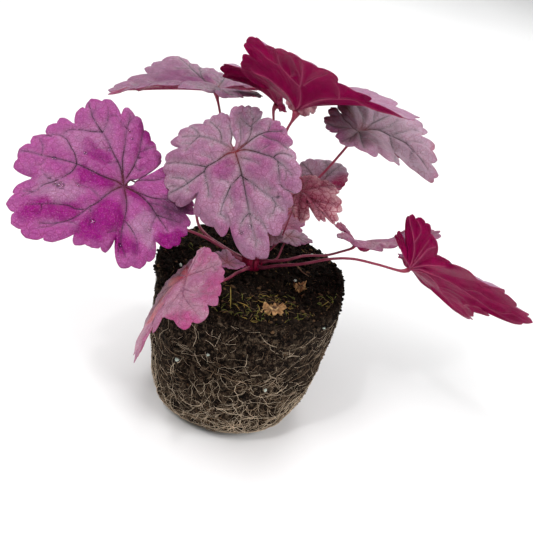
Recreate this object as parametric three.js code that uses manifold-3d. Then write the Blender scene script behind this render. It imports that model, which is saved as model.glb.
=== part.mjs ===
// A heuchera (coral bells) lifted out of its nursery pot: sixteen lobed leaves on thin stalks,
// the crown they grow from, and the root ball with its soil and its net of pale roots.
// Units are millimetres, +Z is up, and the origin is the centre of the root ball's flat base.
import * as THREE from "three";
import { mergeVertices } from "three/addons/utils/BufferGeometryUtils.js";
import Module from "manifold-3d";

// ---- driving dimensions -------------------------------------------------------------------
const GAP = 0.3; // air kept between two pieces that touch
const BALL = { topRadius: 53, baseRadius: 46, height: 94, footRadius: 29, edge: 17, rim: 5 };
const CROWN = { radius: 6.6, height: 95.5, squash: 0.95, sink: 5.5 };
const ROOT = { radius: 0.6, lift: 1.65 };
const BLADE = { thickness: 0.7, slit: 0.9, keyhole: 1.6, seam: [0.66, 0.66], notch: 0.84 };
const TOOTH = { step: 11, depth: 0.035, power: 0.62, corners: [0, 1 / 3, 2 / 3], few: [0, 1 / 2] };
const STALK = { base: 1.25, waist: 0.85, sides: 6, step: 7, clear: 1.6 };

const COLOUR = {
  soil: 0x2a211b, root: 0xb5a182, crown: 0x8c1440, stalk: 0x9c2c52,
  lilac: 0xb07fa6, magenta: 0xb23fa0, pink: 0xc987a8, rose: 0xa34a63, dried: 0xa67b4b,
};

// ---- leaves -------------------------------------------------------------------------------
// at: where the stalk meets the blade. heading, pitch and roll turn the blade's midrib.
// lobes: [angle from the midrib, reach as a share of the length, lift of that lobe's vein above
// the leaf's plane, bend along the vein], in degrees. notches: [angle, share of the reach].
// route: the stalk's way from the crown.
const LEAVES = [
  {
    name: "leaf_01", colour: COLOUR.magenta, at: [-72, -34, 146], heading: -135, pitch: -15,
    roll: -34, length: 60, rings: 2, seam: [0.95, 0.5],
    lobes: [[-157, 0.55, 7, -11], [-133, 0.65, 6, -11], [-109, 0.68, 6, -11], [-60, 0.78, 8, -10],
      [-34, 0.73, 14, -6], [0, 1.0, 7, -11], [46, 0.92, 3, -14], [79, 0.81, 3, -13],
      [106, 0.84, 7, -10], [124, 0.73, 8, -9], [157, 0.48, 7, -10]],
    notches: [[-145, 0.84], [-127, 0.89], [-87, 0.8], [-50, 0.74], [-20, 0.84], [31, 0.8],
      [65, 0.97], [83, 0.88], [118, 0.89], [138, 0.97]],
    route: [[-6.6, -2.2, 98.9], [-18, -7, 107], [-28, -12, 114], [-37, -19, 120], [-58, -26, 128]],
  },
  {
    name: "leaf_02", colour: COLOUR.lilac, at: [-20, -28, 176], heading: -68, pitch: -44,
    roll: 44, length: 55, rings: 2, seam: [0.9, 0.6],
    lobes: [[-150, 0.43, 6, -12], [-86, 0.59, 7, -11], [-53, 0.79, 7, -16], [-33, 0.85, 2, -24],
      [-3, 1.05, -1, -25], [26, 0.8, 2, -24], [65, 0.79, 5, -17], [85, 0.75, 6, -11],
      [111, 0.66, 7, -10], [147, 0.44, 2, -13]],
    notches: [[-126, 0.87], [-80, 0.93], [-46, 0.94], [-15, 0.87], [12, 0.76], [50, 0.75],
      [71, 0.97], [103, 0.84], [137, 0.95]],
    route: [[-3.2, 2.2, 102.3], [-7, 5, 117], [-13, 2, 143], [-17, -10, 163]],
  },
  {
    name: "leaf_03", colour: COLOUR.lilac, at: [-40, 47, 177], heading: 186, pitch: -15, roll: 23,
    length: 58, rings: 2,
    lobes: [[-146, 0.51, -9, -12], [-106, 0.66, 0, -31], [-80, 0.82, 10, -29], [-49, 0.88, 14, -25],
      [-2, 1.07, 9, -11], [54, 0.92, 29, -5], [76, 0.86, 31, -27], [99, 0.63, 25, -28],
      [154, 0.48, 3, -22]],
    route: [[-7, 2, 98], [-18, 8, 99], [-29, 14, 101], [-35, 19, 104], [-39, 27, 115],
      [-38, 34, 136], [-34, 42, 159]],
  },
  {
    name: "leaf_04", colour: COLOUR.rose, at: [-4, 32, 182], heading: 226, pitch: 49, roll: -8,
    length: 42, rings: 2,
    lobes: [[-124, 0.12, 1, -19], [-90, 0.22, 3, -18], [-45, 0.34, 8, -23], [6, 1.04, 6, -41],
      [45, 0.72, -1, -66], [76, 0.46, 8, -42], [112, 0.26, 12, -16], [153, 0.2, 2, -19]],
    notches: [[-107, 0.84], [-68, 0.84], [-19, 0.9], [26, 0.97], [62, 0.9], [97, 0.9],
      [131, 0.84]],
    route: [[-2, 6, 101], [-3, 15, 120], [-4, 25, 148], [-4, 31, 171]],
  },
  {
    name: "leaf_05", colour: COLOUR.rose, at: [7, -9, 196], heading: -19, pitch: 5, roll: -49,
    length: 63, rings: 3,
    lobes: [[-155, 0.36, 34, -4], [-125, 0.54, 40, -4], [-95, 0.78, 52, -5], [-42, 0.82, 54, -23],
      [17, 1.07, 17, -32], [62, 0.87, 13, -37], [88, 0.78, 18, -42], [125, 0.72, 27, -30],
      [155, 0.57, 26, -33]],
    notches: [[-140, 0.84], [-110, 0.84], [-69, 0.84], [-13, 0.84], [33, 0.6], [72, 0.86],
      [109, 0.83], [140, 0.9]],
    route: [[1.8, 3.6, 102.2], [3, 2, 121], [3, -2, 148], [3, -7, 180]],
  },
  {
    name: "leaf_06", colour: COLOUR.lilac, at: [41, 4, 188], heading: -11, pitch: -7, roll: -4,
    length: 46, rings: 2,
    lobes: [[-149, 0.42, 25, -10], [-124, 0.68, 20, -18], [-90, 0.84, 21, -14], [-53, 0.96, 15, -7],
      [-26, 0.96, 9, -12], [2, 1.05, -1, -21], [46, 0.82, 10, -24], [74, 0.79, 12, -22],
      [102, 0.61, 7, -26], [141, 0.5, 10, -20], [165, 0.43, 22, -14]],
    notches: [[-136, 0.84], [-107, 0.84], [-71, 0.84], [-40, 0.84], [-13, 0.88], [31, 0.81],
      [52, 0.62], [85, 0.95], [113, 0.81], [153, 0.87]],
    route: [[4.6, 3.7, 100.6], [10, 7, 119], [17, 9, 138], [28, 9, 156], [37, 6, 176]],
  },
  {
    name: "leaf_07", colour: COLOUR.lilac, at: [29, 27, 141], heading: -13, pitch: 20, roll: 12,
    length: 21, rings: 2, tooth: 15,
    lobes: [[-154, 0.55, 15, -8], [-130, 0.84, 24, -2], [-87, 0.86, 21, -12], [-44, 0.91, 12, -20],
      [10, 0.83, 12, -34], [42, 0.88, 13, -34], [90, 0.8, 1, -32], [124, 0.6, 6, -16],
      [154, 0.5, 3, -17]],
    route: [[5.2, 5.4, 97.6], [8, 11, 110], [13, 17, 120], [20, 23, 128], [26, 27, 136]],
  },
  {
    name: "leaf_08", colour: COLOUR.rose, at: [18, -5, 151], heading: -8, pitch: -2, roll: 17,
    length: 25, rings: 2, tooth: 12,
    lobes: [[-120, 0.5, 2, -19], [-80, 0.6, 3, -18], [-33, 0.84, 6, -16], [-1, 0.98, 3, -18],
      [24, 1.08, 0, -20], [45, 0.87, 2, -19], [72, 0.85, 2, -19], [110, 0.6, 1, -19]],
    notches: [[-100, 0.84], [-56, 0.84], [-16, 0.88], [13, 0.92], [33, 0.8], [56, 0.56],
      [90, 0.84]],
    route: [[4.9, 1, 101.5], [13, -1, 116], [16, -4, 135]],
  },
  {
    name: "leaf_09", colour: COLOUR.pink, at: [11, 35, 105], heading: -12, pitch: 26, roll: 24,
    length: 19, rings: 2, tooth: 15,
    lobes: [[-120, 0.6, 5, -5], [-59, 0.86, 9, -3], [-24, 0.91, 4, -7], [2, 0.97, 4, -6],
      [24, 0.96, 4, -7], [60, 0.8, 2, -8], [120, 0.6, 1, -9]],
    route: [[3.2, 6.8, 97.4], [6, 16, 97.5], [8, 25, 97]],
  },
  {
    name: "leaf_10", colour: COLOUR.lilac, at: [18, 16, 110], heading: 9, pitch: 3, roll: 0,
    length: 15, rings: 2, tooth: 15,
    lobes: [[-120, 0.5, 1, -9], [-61, 0.7, 2, -9], [-26, 0.84, 0, -10], [1, 1.02, 0, -15],
      [25, 0.83, 1, -9], [60, 0.7, 0, -10], [120, 0.5, 0, -10]],
    route: [[7.2, 1.4, 98], [14, 7, 99], [16, 12, 104], [17, 15, 107]],
  },
  {
    name: "leaf_11", colour: COLOUR.lilac, at: [7, -3, 119], heading: -27, pitch: 12, roll: 31,
    length: 8.9, rings: 2, tooth: 15,
    lobes: [[-120, 0.6, 3, -8], [-60, 0.8, 4, -7], [-27, 0.87, 8, -4], [-1, 1.0, 4, -12],
      [26, 0.91, -1, -10], [62, 0.82, -3, -12], [120, 0.6, -2, -11]],
    route: [[2.9, -1.1, 102.7], [5, -2, 108], [6, -3, 114]],
  },
  {
    name: "leaf_12", colour: COLOUR.lilac, at: [58, 21, 113], heading: 0, pitch: 4, roll: -22,
    length: 46, rings: 2,
    lobes: [[-151, 0.38, 30, -8], [-124, 0.42, 23, -8], [-90, 0.4, 24, -17], [-43, 0.93, 26, -15],
      [1, 1.08, 13, 1], [50, 0.85, 12, -10], [80, 0.78, 7, -15], [124, 0.5, 12, -6],
      [150, 0.26, 25, -6]],
    route: [[7, -1, 100], [19, -1, 104], [29, 3, 107], [42, 11, 106], [51, 16, 108]],
  },
  {
    name: "leaf_13", colour: COLOUR.rose, at: [85, -16, 123], heading: -48, pitch: -21, roll: -49,
    length: 69, rings: 2,
    lobes: [[-150, 0.16, 3, -3], [-82, 0.5, 12, 0], [-49, 0.72, 21, -9], [1, 1.02, 31, -1],
      [36, 0.83, 29, -4], [58, 0.66, 18, -11], [80, 0.62, 21, -1], [117, 0.55, 20, -3],
      [154, 0.28, 4, -5]],
    notches: [[-110, 0.84], [-60, 0.5], [-14, 0.62], [20, 0.95], [46, 0.78], [67, 0.98],
      [97, 0.96], [134, 0.6]],
    route: [[5.6, -4.9, 97.9], [15, -7.5, 103], [27, -9, 108], [43, -10, 116], [54, -12, 120],
      [67, -14, 121], [77, -15, 121]],
  },
  {
    name: "leaf_14", colour: COLOUR.pink, at: [-31, -51, 111], heading: -124, pitch: -31, roll: 60,
    length: 53, rings: 2,
    lobes: [[-156, 0.33, 17, -16], [-114, 0.51, -16, -28], [-79, 0.72, -20, -34],
      [-58, 0.84, -17, -32], [-45, 0.85, -11, -28], [-32, 0.66, -4, -24], [-1, 0.98, -5, -14],
      [33, 0.92, 6, -28], [58, 0.75, 15, -33], [78, 0.66, 21, -34], [100, 0.54, 21, -26],
      [154, 0.35, 12, -21]],
    notches: [[-135, 0.96], [-91, 0.96], [-67, 0.89], [-51, 0.94], [-40, 0.97], [-8, 0.5],
      [16, 0.84], [44, 0.84], [67, 0.84], [88, 0.84], [124, 0.84]],
    route: [[-1.2, -7.4, 97.6], [-6, -15, 98], [-13, -27, 98], [-22, -42, 103]],
  },
  {
    name: "leaf_15", colour: COLOUR.lilac, at: [-13, -21, 106], heading: 1, pitch: 0, roll: -6,
    length: 12, rings: 2, tooth: 15,
    lobes: [[-133, 0.96, 7, -2], [-98, 1.06, 10, 1], [-57, 0.72, 3, -5], [-1, 0.88, 7, -4],
      [55, 0.79, 8, -4], [120, 0.6, 5, -6]],
    route: [[-4.3, -5.9, 98.2], [-8, -15, 101]],
  },
  {
    name: "leaf_16", colour: COLOUR.rose, at: [8, 52, 185], heading: -61, pitch: -27, roll: -9,
    length: 16, rings: 2, tooth: 15,
    lobes: [[-154, 0.5, -1, -11], [-124, 0.65, -2, -22], [-90, 0.8, -3, -23], [-45, 0.9, -7, -27],
      [3, 0.97, -4, -24], [41, 0.94, -5, -25], [90, 0.8, -2, -22], [124, 0.65, -1, -21],
      [154, 0.5, -1, -11]],
    route: [[0.6, 7.6, 97.4], [1, 24, 125], [3, 42, 155], [6, 49, 168]],
  },
];

// ---- small helpers ------------------------------------------------------------------------
const rad = THREE.MathUtils.degToRad;
const wasm = await Module();
wasm.setup();

/** A repeatable stream of numbers from 0 to 1. */
function seeded(seed) {
  let s = seed;
  return () => {
    s = (s * 1664525 + 1013904223) % 4294967296;
    return s / 4294967296;
  };
}

/** A value given at several angles, carried smoothly to any angle between them. */
function along(angle, angles, values) {
  const a = [-180, ...angles, 180];
  const v = [values[0], ...values, values.at(-1)];
  let k = 0;
  while (k < a.length - 2 && angle >= a[k + 1]) k++;
  const slope = (i) => (i < 1 || i > a.length - 2 ? 0 : (v[i + 1] - v[i - 1]) / (a[i + 1] - a[i - 1]));
  const w = a[k + 1] - a[k];
  const u = (angle - a[k]) / w;
  const start = v[k] * (2 * u ** 3 - 3 * u ** 2 + 1) + slope(k) * w * (u ** 3 - 2 * u ** 2 + u);
  return start + v[k + 1] * (3 * u ** 2 - 2 * u ** 3) + slope(k + 1) * w * (u ** 3 - u ** 2);
}

/** A solid's surface from a list of corner points and the triangles between them. */
function surface(points, triangles) {
  const geometry = new THREE.BufferGeometry().setFromPoints(points);
  geometry.setIndex(triangles);
  return geometry;
}

/** Two triangles of a four-sided patch, always split along the same diagonal. */
function patch(list, a, b, c, d) {
  list.push(a, b, c, a, c, d);
}

function piece(name, geometry, colour, roughness = 0.7) {
  const material = new THREE.MeshStandardMaterial({ color: colour, roughness, metalness: 0 });
  geometry.computeVertexNormals();
  const mesh = new THREE.Mesh(geometry, material);
  mesh.name = name;
  return mesh;
}

/** A three.js geometry as a manifold-3d solid. */
function solid(geometry) {
  const bare = geometry.clone();
  bare.deleteAttribute("normal");
  bare.deleteAttribute("uv");
  const merged = mergeVertices(bare, 1e-4);
  return new wasm.Manifold(
    new wasm.Mesh({
      numProp: 3,
      vertProperties: merged.attributes.position.array,
      triVerts: new Uint32Array(merged.index.array),
    }),
  );
}

function geometryOf(body) {
  const mesh = body.getMesh();
  const geometry = new THREE.BufferGeometry();
  geometry.setAttribute("position", new THREE.BufferAttribute(mesh.vertProperties, 3));
  geometry.setIndex(new THREE.BufferAttribute(mesh.triVerts, 1));
  return geometry;
}

// ---- leaf blades --------------------------------------------------------------------------
/** The leaf's axes: w to the right, m along the midrib, n out of the upper face. */
function leafAxes(leaf) {
  const [h, p, q] = [rad(leaf.heading), rad(leaf.pitch), rad(leaf.roll)];
  const m = new THREE.Vector3(Math.cos(p) * Math.cos(h), Math.cos(p) * Math.sin(h), Math.sin(p));
  const side = new THREE.Vector3(Math.sin(h), -Math.cos(h), 0);
  const n = side.clone().cross(m).multiplyScalar(Math.cos(q)).addScaledVector(side, Math.sin(q));
  return { w: m.clone().cross(n), m, n };
}

/** The notches between the lobes, closed at both ends by the edge beside the stalk's slit. */
function edgeNotches(leaf) {
  const middle = (lobe, k) => [(lobe[0] + leaf.lobes[k + 1][0]) / 2, BLADE.notch];
  const between = leaf.notches ?? leaf.lobes.slice(0, -1).map(middle);
  const [left, right] = leaf.seam ?? BLADE.seam;
  return [[-180, left], ...between, [180, right]];
}

/** The blade's reach at every corner of its edge: each lobe is a round sweep of small teeth. */
function edgeCorners(leaf) {
  const angles = leaf.lobes.map((lobe) => lobe[0]);
  const reaches = leaf.lobes.map((lobe) => lobe[1]);
  const notches = edgeNotches(leaf);
  const corners = [];
  leaf.lobes.forEach(([tip], k) => {
    const [[from, low], [to, high]] = [notches[k], notches[k + 1]];
    const teeth = Math.max(1, Math.round((to - from) / (leaf.tooth ?? TOOTH.step)));
    const cuts = leaf.length < 30 ? TOOTH.few : TOOTH.corners;
    const steps = [...Array(teeth).keys()].flatMap((i) => cuts.map((cut) => i + cut));
    if (k === leaf.lobes.length - 1) steps.push(teeth);
    for (const s of steps) {
      const angle = from + ((to - from) * s) / teeth;
      const [edge, share] = angle < tip ? [from, low] : [to, high];
      const lobe = 1 - (1 - share) * ((angle - tip) / (edge - tip)) ** 2.6;
      const scallop = 1 - TOOTH.depth * (1 - Math.abs(Math.sin(Math.PI * s)) ** TOOTH.power);
      corners.push({ angle, reach: along(angle, angles, reaches) * lobe * scallop });
    }
  });
  return corners;
}

/** A point of the blade's middle surface, t being its distance out as a share of the length. */
function bladePoint(leaf, angle, t) {
  const angles = leaf.lobes.map((lobe) => lobe[0]);
  const lift = rad(along(angle, angles, leaf.lobes.map((lobe) => lobe[2])));
  let bend = rad(along(angle, angles, leaf.lobes.map((lobe) => lobe[3])));
  if (Math.abs(bend) < 1e-4) bend = 1e-4;
  const out = (leaf.length / bend) * (Math.sin(lift + bend * t) - Math.sin(lift));
  const up = (leaf.length / bend) * (Math.cos(lift) - Math.cos(lift + bend * t));
  const half = BLADE.slit + BLADE.keyhole * Math.exp(-(((t - 0.13) / 0.07) ** 2));
  const open = Math.min(20, THREE.MathUtils.radToDeg(Math.asin(Math.min(0.9, half / Math.max(out, half)))));
  const near = THREE.MathUtils.clamp((Math.abs(angle) - 130) / 50, 0, 1);
  const turned = rad(angle - Math.sign(angle) * open * near * near);
  return new THREE.Vector3(out * Math.sin(turned), out * Math.cos(turned), up);
}

/** The unit normal of the middle surface, from two short steps on it. */
function bladeNormal(leaf, angle, t) {
  const s = Math.max(t, 0.04);
  const turn = bladePoint(leaf, Math.min(angle + 1, 180), s).sub(bladePoint(leaf, Math.max(angle - 1, -180), s));
  const out = bladePoint(leaf, angle, s + 0.01).sub(bladePoint(leaf, angle, s - 0.01));
  return turn.cross(out).normalize();
}

function bladeGeometry(leaf) {
  const { w, m, n } = leafAxes(leaf);
  const corners = edgeCorners(leaf);
  const rays = corners.length;
  const at = new THREE.Vector3(...leaf.at);
  const place = (p) => at.clone().addScaledVector(w, p.x).addScaledVector(m, p.y).addScaledVector(n, p.z);
  const half = BLADE.thickness / 2;
  const points = [];
  for (const side of [1, -1]) {
    points.push(place(new THREE.Vector3(0, 0, side * half)));
    for (let ring = 1; ring <= leaf.rings; ring++)
      for (const { angle, reach } of corners) {
        const t = (reach * ring) / leaf.rings;
        const normal = bladeNormal(leaf, angle, t);
        points.push(place(bladePoint(leaf, angle, t).addScaledVector(normal, side * half)));
      }
  }
  const bottom = 1 + rays * leaf.rings;
  const top = (ring, ray) => 1 + (ring - 1) * rays + ray;
  const tris = [];
  for (let ray = 0; ray < rays - 1; ray++) {
    tris.push(0, top(1, ray + 1), top(1, ray));
    tris.push(bottom, bottom + top(1, ray), bottom + top(1, ray + 1));
    for (let ring = 1; ring < leaf.rings; ring++) {
      const [a, b, c, d] = [top(ring, ray), top(ring, ray + 1), top(ring + 1, ray + 1), top(ring + 1, ray)];
      patch(tris, a, b, c, d);
      tris.push(bottom + a, bottom + c, bottom + b, bottom + a, bottom + d, bottom + c);
    }
    const [a, b] = [top(leaf.rings, ray), top(leaf.rings, ray + 1)];
    patch(tris, a, b, bottom + b, bottom + a);
  }
  for (const [ray, turn] of [[0, 1], [rays - 1, -1]]) {
    let inner = 0;
    for (let ring = 1; ring <= leaf.rings; ring++) {
      const outer = top(ring, ray);
      if (turn > 0) patch(tris, inner, outer, bottom + outer, bottom + inner);
      else patch(tris, inner, bottom + inner, bottom + outer, outer);
      inner = outer;
    }
  }
  return surface(points, tris);
}

// ---- stalks -------------------------------------------------------------------------------
/** A closed round tube along a curve, its radius running from one end to the other. */
function tubeGeometry(curve, steps, sides, radiusAt) {
  const frames = curve.computeFrenetFrames(steps, false);
  const points = [];
  for (let i = 0; i <= steps; i++) {
    const centre = curve.getPointAt(i / steps);
    for (let j = 0; j < sides; j++) {
      const a = (2 * Math.PI * j) / sides;
      const p = centre.clone().addScaledVector(frames.normals[i], radiusAt(i / steps) * Math.cos(a));
      points.push(p.addScaledVector(frames.binormals[i], radiusAt(i / steps) * Math.sin(a)));
    }
  }
  const tris = [];
  for (let i = 0; i < steps; i++)
    for (let j = 0; j < sides; j++) {
      const k = (j + 1) % sides;
      patch(tris, i * sides + j, i * sides + k, (i + 1) * sides + k, (i + 1) * sides + j);
    }
  for (let j = 1; j < sides - 1; j++) {
    tris.push(0, j + 1, j);
    tris.push(steps * sides, steps * sides + j, steps * sides + j + 1);
  }
  return surface(points, tris);
}

/** The stalk's curve, from just off the crown to just under the blade. */
function stalkCurve(leaf) {
  const heart = new THREE.Vector3(0, 0, CROWN.height);
  const [first, ...route] = leaf.route.map((p) => new THREE.Vector3(...p));
  const out = first.sub(heart).normalize();
  const wide = CROWN.radius * CROWN.squash;
  const skin = 1 / Math.hypot(out.x / wide, out.y / wide, out.z / CROWN.radius);
  const off = (d) => heart.clone().addScaledVector(out, skin + GAP + d);
  const { n } = leafAxes(leaf);
  const under = (d) => new THREE.Vector3(...leaf.at).addScaledVector(n, -d);
  const seat = BLADE.thickness / 2 + GAP;
  const reach = leaf.approach ?? 3;
  return new THREE.CatmullRomCurve3([off(0), off(2), ...route, under(seat + reach), under(seat + 0.25)]);
}

function stalkGeometry(leaf) {
  const curve = stalkCurve(leaf);
  const steps = Math.max(4, Math.round(curve.getLength() / STALK.step));
  const thin = leaf.length < 30 ? 0.75 : 1;
  const radiusAt = (s) => thin * (STALK.waist + (STALK.base - STALK.waist) * (1 - s) ** 3);
  return tubeGeometry(curve, steps, STALK.sides, radiusAt);
}

// ---- crown --------------------------------------------------------------------------------
/** The short thick stem that every stalk grows from, standing in its hole in the soil. */
function crownGeometry() {
  const profile = [new THREE.Vector2(0, CROWN.height - CROWN.radius - CROWN.sink)];
  profile.push(new THREE.Vector2(CROWN.radius * 0.55, CROWN.height - CROWN.radius - CROWN.sink));
  for (let i = 0; i <= 6; i++) {
    const a = -Math.PI / 6 + (i / 6) * ((2 * Math.PI) / 3);
    profile.push(new THREE.Vector2(
      CROWN.radius * CROWN.squash * Math.cos(a) + (i === 6 ? -CROWN.radius * CROWN.squash * Math.cos(a) : 0),
      CROWN.height + CROWN.radius * Math.sin(a),
    ));
  }
  return new THREE.LatheGeometry(profile, 14).rotateX(Math.PI / 2);
}

// ---- root ball ----------------------------------------------------------------------------
/** Lumps of the soil: a few slow waves round and up the ball. */
function lump(angle, z) {
  const lean = (2.4 * (1 + Math.cos(angle)) * z) / BALL.height;
  return lean + 0.8 * Math.sin(3 * angle + 0.05 * z) + 0.7 * Math.sin(5 * angle - 0.09 * z + 1.3)
    + 0.5 * Math.sin(8 * angle + 0.12 * z + 0.4);
}

/** The ball's plain radius at a height: a cone frustum with its lower edge rounded off. */
function plainRadius(z) {
  const cone = BALL.baseRadius + ((BALL.topRadius - BALL.baseRadius) * z) / BALL.height;
  if (z >= BALL.edge) return cone;
  const drop = BALL.edge - z;
  return cone - BALL.edge + Math.sqrt(BALL.edge ** 2 - drop ** 2);
}

/** A point of the ball's side at an angle round it and a height. */
function sidePoint(angle, z, out = 0) {
  const fade = THREE.MathUtils.smoothstep(z, 0, 20);
  const r = plainRadius(z) + fade * lump(angle, z) + out;
  return new THREE.Vector3(r * Math.cos(angle), r * Math.sin(angle), z);
}

/** A point of the soil's top: a low heap that rises to the crown, with small hollows. */
function topPoint(angle, r) {
  const share = r / BALL.topRadius;
  const waves = 0.7 * Math.sin(0.16 * r * Math.cos(angle) + 1) + 0.7 * Math.sin(0.19 * r * Math.sin(angle) + 2);
  const x = r + share ** 4 * lump(angle, BALL.height) * 0.8;
  return new THREE.Vector3(x * Math.cos(angle), x * Math.sin(angle), BALL.height + 0.6 - 2.4 * share ** 3 + waves * (1 - share));
}

/** The soil: flat foot, rounded lower edge, lumpy side, heaped top and a plain hole for the crown. */
function soilGeometry() {
  const around = 44;
  const foot = [0.5, 1].map((s) => (a) => new THREE.Vector3(s * BALL.footRadius * Math.cos(a), s * BALL.footRadius * Math.sin(a), 0));
  const edge = [30, 50, 70, 90].map((d) => BALL.edge * (1 - Math.cos(rad(d)))).map((z) => (a) => sidePoint(a, z));
  const walls = [26, 36, 46, 56, 66, 76, 84].map((z) => (a) => sidePoint(a, z));
  const rim = [(a) => sidePoint(a, BALL.height - BALL.rim * 0.9), (a) => topPoint(a, BALL.topRadius - 1.6)];
  const top = [46, 38, 29, 20, 12].map((r) => (a) => topPoint(a, r));
  const holeRadius = CROWN.radius + GAP;
  const holeFloor = CROWN.height - CROWN.radius - CROWN.sink - GAP;
  const ring = (r, z) => (a) => new THREE.Vector3(r * Math.cos(a), r * Math.sin(a), z);
  const hole = [ring(holeRadius, BALL.height), ring(holeRadius, holeFloor)];
  const rows = [...foot, ...edge, ...walls, ...rim, ...top, ...hole];
  const points = [new THREE.Vector3(0, 0, 0)];
  for (const row of rows)
    for (let j = 0; j < around; j++) points.push(row((2 * Math.PI * j) / around));
  points.push(new THREE.Vector3(0, 0, holeFloor));
  const end = points.length - 1;
  const id = (row, j) => 1 + row * around + (j % around);
  const tris = [];
  for (let j = 0; j < around; j++) {
    tris.push(0, id(0, j + 1), id(0, j));
    for (let row = 0; row < rows.length - 1; row++)
      patch(tris, id(row, j), id(row, j + 1), id(row + 1, j + 1), id(row + 1, j));
    tris.push(end, id(rows.length - 1, j), id(rows.length - 1, j + 1));
  }
  return surface(points, tris);
}

/** One root lying on the side, from one angle and height to another, wavering as it goes. */
function rootStrand(from, to, waver, random) {
  const [a0, z0] = from;
  const [a1, z1] = to;
  const length = Math.hypot((a1 - a0) * 50, z1 - z0);
  const steps = Math.max(3, Math.ceil(length / 11));
  const [p1, p2] = [random() * 6.3, random() * 6.3];
  const points = [];
  for (let i = 0; i <= steps; i++) {
    const s = i / steps;
    const a = a0 + (a1 - a0) * s + (waver * Math.sin(7 * s + p1)) / 50;
    const z = THREE.MathUtils.clamp(z0 + (z1 - z0) * s + waver * Math.sin(6 * s + p2), 9, 86);
    points.push(sidePoint(a, z, ROOT.lift));
  }
  const curve = new THREE.CatmullRomCurve3(points);
  return tubeGeometry(curve, steps, 3, () => ROOT.radius);
}

/** The net of pale roots pressed against the pot's wall, all grown together. */
function rootNetGeometry() {
  const random = seeded(11);
  const turn = 2 * Math.PI;
  const strands = [];
  for (const z of [18, 52]) {
    const parts = 3;
    for (let k = 0; k < parts; k++) {
      const overlap = 0.12;
      strands.push(rootStrand([(turn * k) / parts, z], [(turn * (k + 1)) / parts + overlap, z + 1], 3, random));
    }
  }
  for (let k = 0; k < 12; k++) {
    const a = (turn * (k + random() * 0.6)) / 12;
    strands.push(rootStrand([a, 68 + random() * 14], [a + (random() - 0.5) * 0.9, 10 + random() * 4], 3, random));
  }
  for (let k = 0; k < 7; k++) {
    const a = turn * random();
    const low = 12 + random() * 20;
    strands.push(rootStrand([a, low], [a + 0.5 + random() * 0.5, low + 26], 4, random));
  }
  const net = strands.map((g) => solid(g)).reduce((all, strand) => all.add(strand));
  const bodies = net.decompose().sort((a, b) => b.volume() - a.volume());
  return geometryOf(bodies[0].simplify(0.05));
}

// ---- dried leaf scraps --------------------------------------------------------------------
/** A shrivelled brown leaf lying on the soil: a thin crumpled disc. */
function scrapGeometry({ x, y, radius, turn }) {
  const rays = 12;
  const thickness = 0.8;
  const points = [];
  const heart = topPoint(Math.atan2(y, x), Math.hypot(x, y)).z + 1.8;
  for (const side of [thickness, 0]) {
    points.push(new THREE.Vector3(x, y, heart + 1.2 + side));
    for (let j = 0; j < rays; j++) {
      const a = turn + (2 * Math.PI * j) / rays;
      const r = radius * (j % 2 ? 0.72 : 1);
      points.push(new THREE.Vector3(x + r * Math.cos(a), y + 0.8 * r * Math.sin(a), heart + side + 0.9 * Math.sin(3 * a)));
    }
  }
  const low = rays + 1;
  const tris = [];
  for (let j = 0; j < rays; j++) {
    const [a, b] = [1 + j, 1 + ((j + 1) % rays)];
    tris.push(0, a, b, low, low + b, low + a);
    patch(tris, a, low + a, low + b, b);
  }
  return surface(points, tris);
}

const SCRAPS = [
  { name: "dried_leaf_large", x: 17, y: -40, radius: 7, turn: 0.4 },
  { name: "dried_leaf_small", x: 30, y: -13, radius: 4.5, turn: 1.1 },
];

// ---- the plant ----------------------------------------------------------------------------
const plant = new THREE.Group();
plant.name = "heuchera_plant";
plant.add(piece("root_ball_soil", soilGeometry(), COLOUR.soil, 0.95));
plant.add(piece("root_net", rootNetGeometry(), COLOUR.root, 0.85));
plant.add(piece("crown", crownGeometry(), COLOUR.crown, 0.6));
for (const leaf of LEAVES) {
  plant.add(piece(`${leaf.name}_blade`, bladeGeometry(leaf), leaf.colour, 0.5));
  plant.add(piece(`${leaf.name}_stalk`, stalkGeometry(leaf), COLOUR.stalk, 0.5));
}
for (const scrap of SCRAPS) plant.add(piece(scrap.name, scrapGeometry(scrap), COLOUR.dried, 0.9));

export default plant;
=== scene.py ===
# %% [markdown]
# # A heuchera lifted out of its pot
# The real plant is a young heuchera (coral bells) with sixteen lobed leaves in magenta, lilac and crimson,
# a short crown, and a bare root ball that still has the shape of its pot. This lesson dresses its plain
# solids: every leaf gets a fine blade with veins, the soil gets crumbs, and the roots become a pale net.
# All lengths below are millimetres, and one helper turns them into Blender's metres.

# %% Start: load the fixed frame
import math

import bpy
import numpy as np
from mathutils import Matrix


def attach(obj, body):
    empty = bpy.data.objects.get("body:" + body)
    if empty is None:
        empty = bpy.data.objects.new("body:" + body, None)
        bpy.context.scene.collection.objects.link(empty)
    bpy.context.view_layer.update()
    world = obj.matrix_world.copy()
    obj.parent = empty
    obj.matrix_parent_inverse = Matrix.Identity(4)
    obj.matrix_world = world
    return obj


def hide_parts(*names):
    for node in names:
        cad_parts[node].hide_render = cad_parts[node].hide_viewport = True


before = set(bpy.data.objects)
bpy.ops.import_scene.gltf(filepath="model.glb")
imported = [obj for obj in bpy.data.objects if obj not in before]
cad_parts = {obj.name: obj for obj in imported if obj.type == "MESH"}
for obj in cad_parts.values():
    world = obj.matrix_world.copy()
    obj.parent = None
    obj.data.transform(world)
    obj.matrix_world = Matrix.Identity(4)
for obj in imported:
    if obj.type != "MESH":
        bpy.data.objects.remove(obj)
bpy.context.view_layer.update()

MM = 0.001
print("nodes in the frame:", len(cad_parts))

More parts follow.
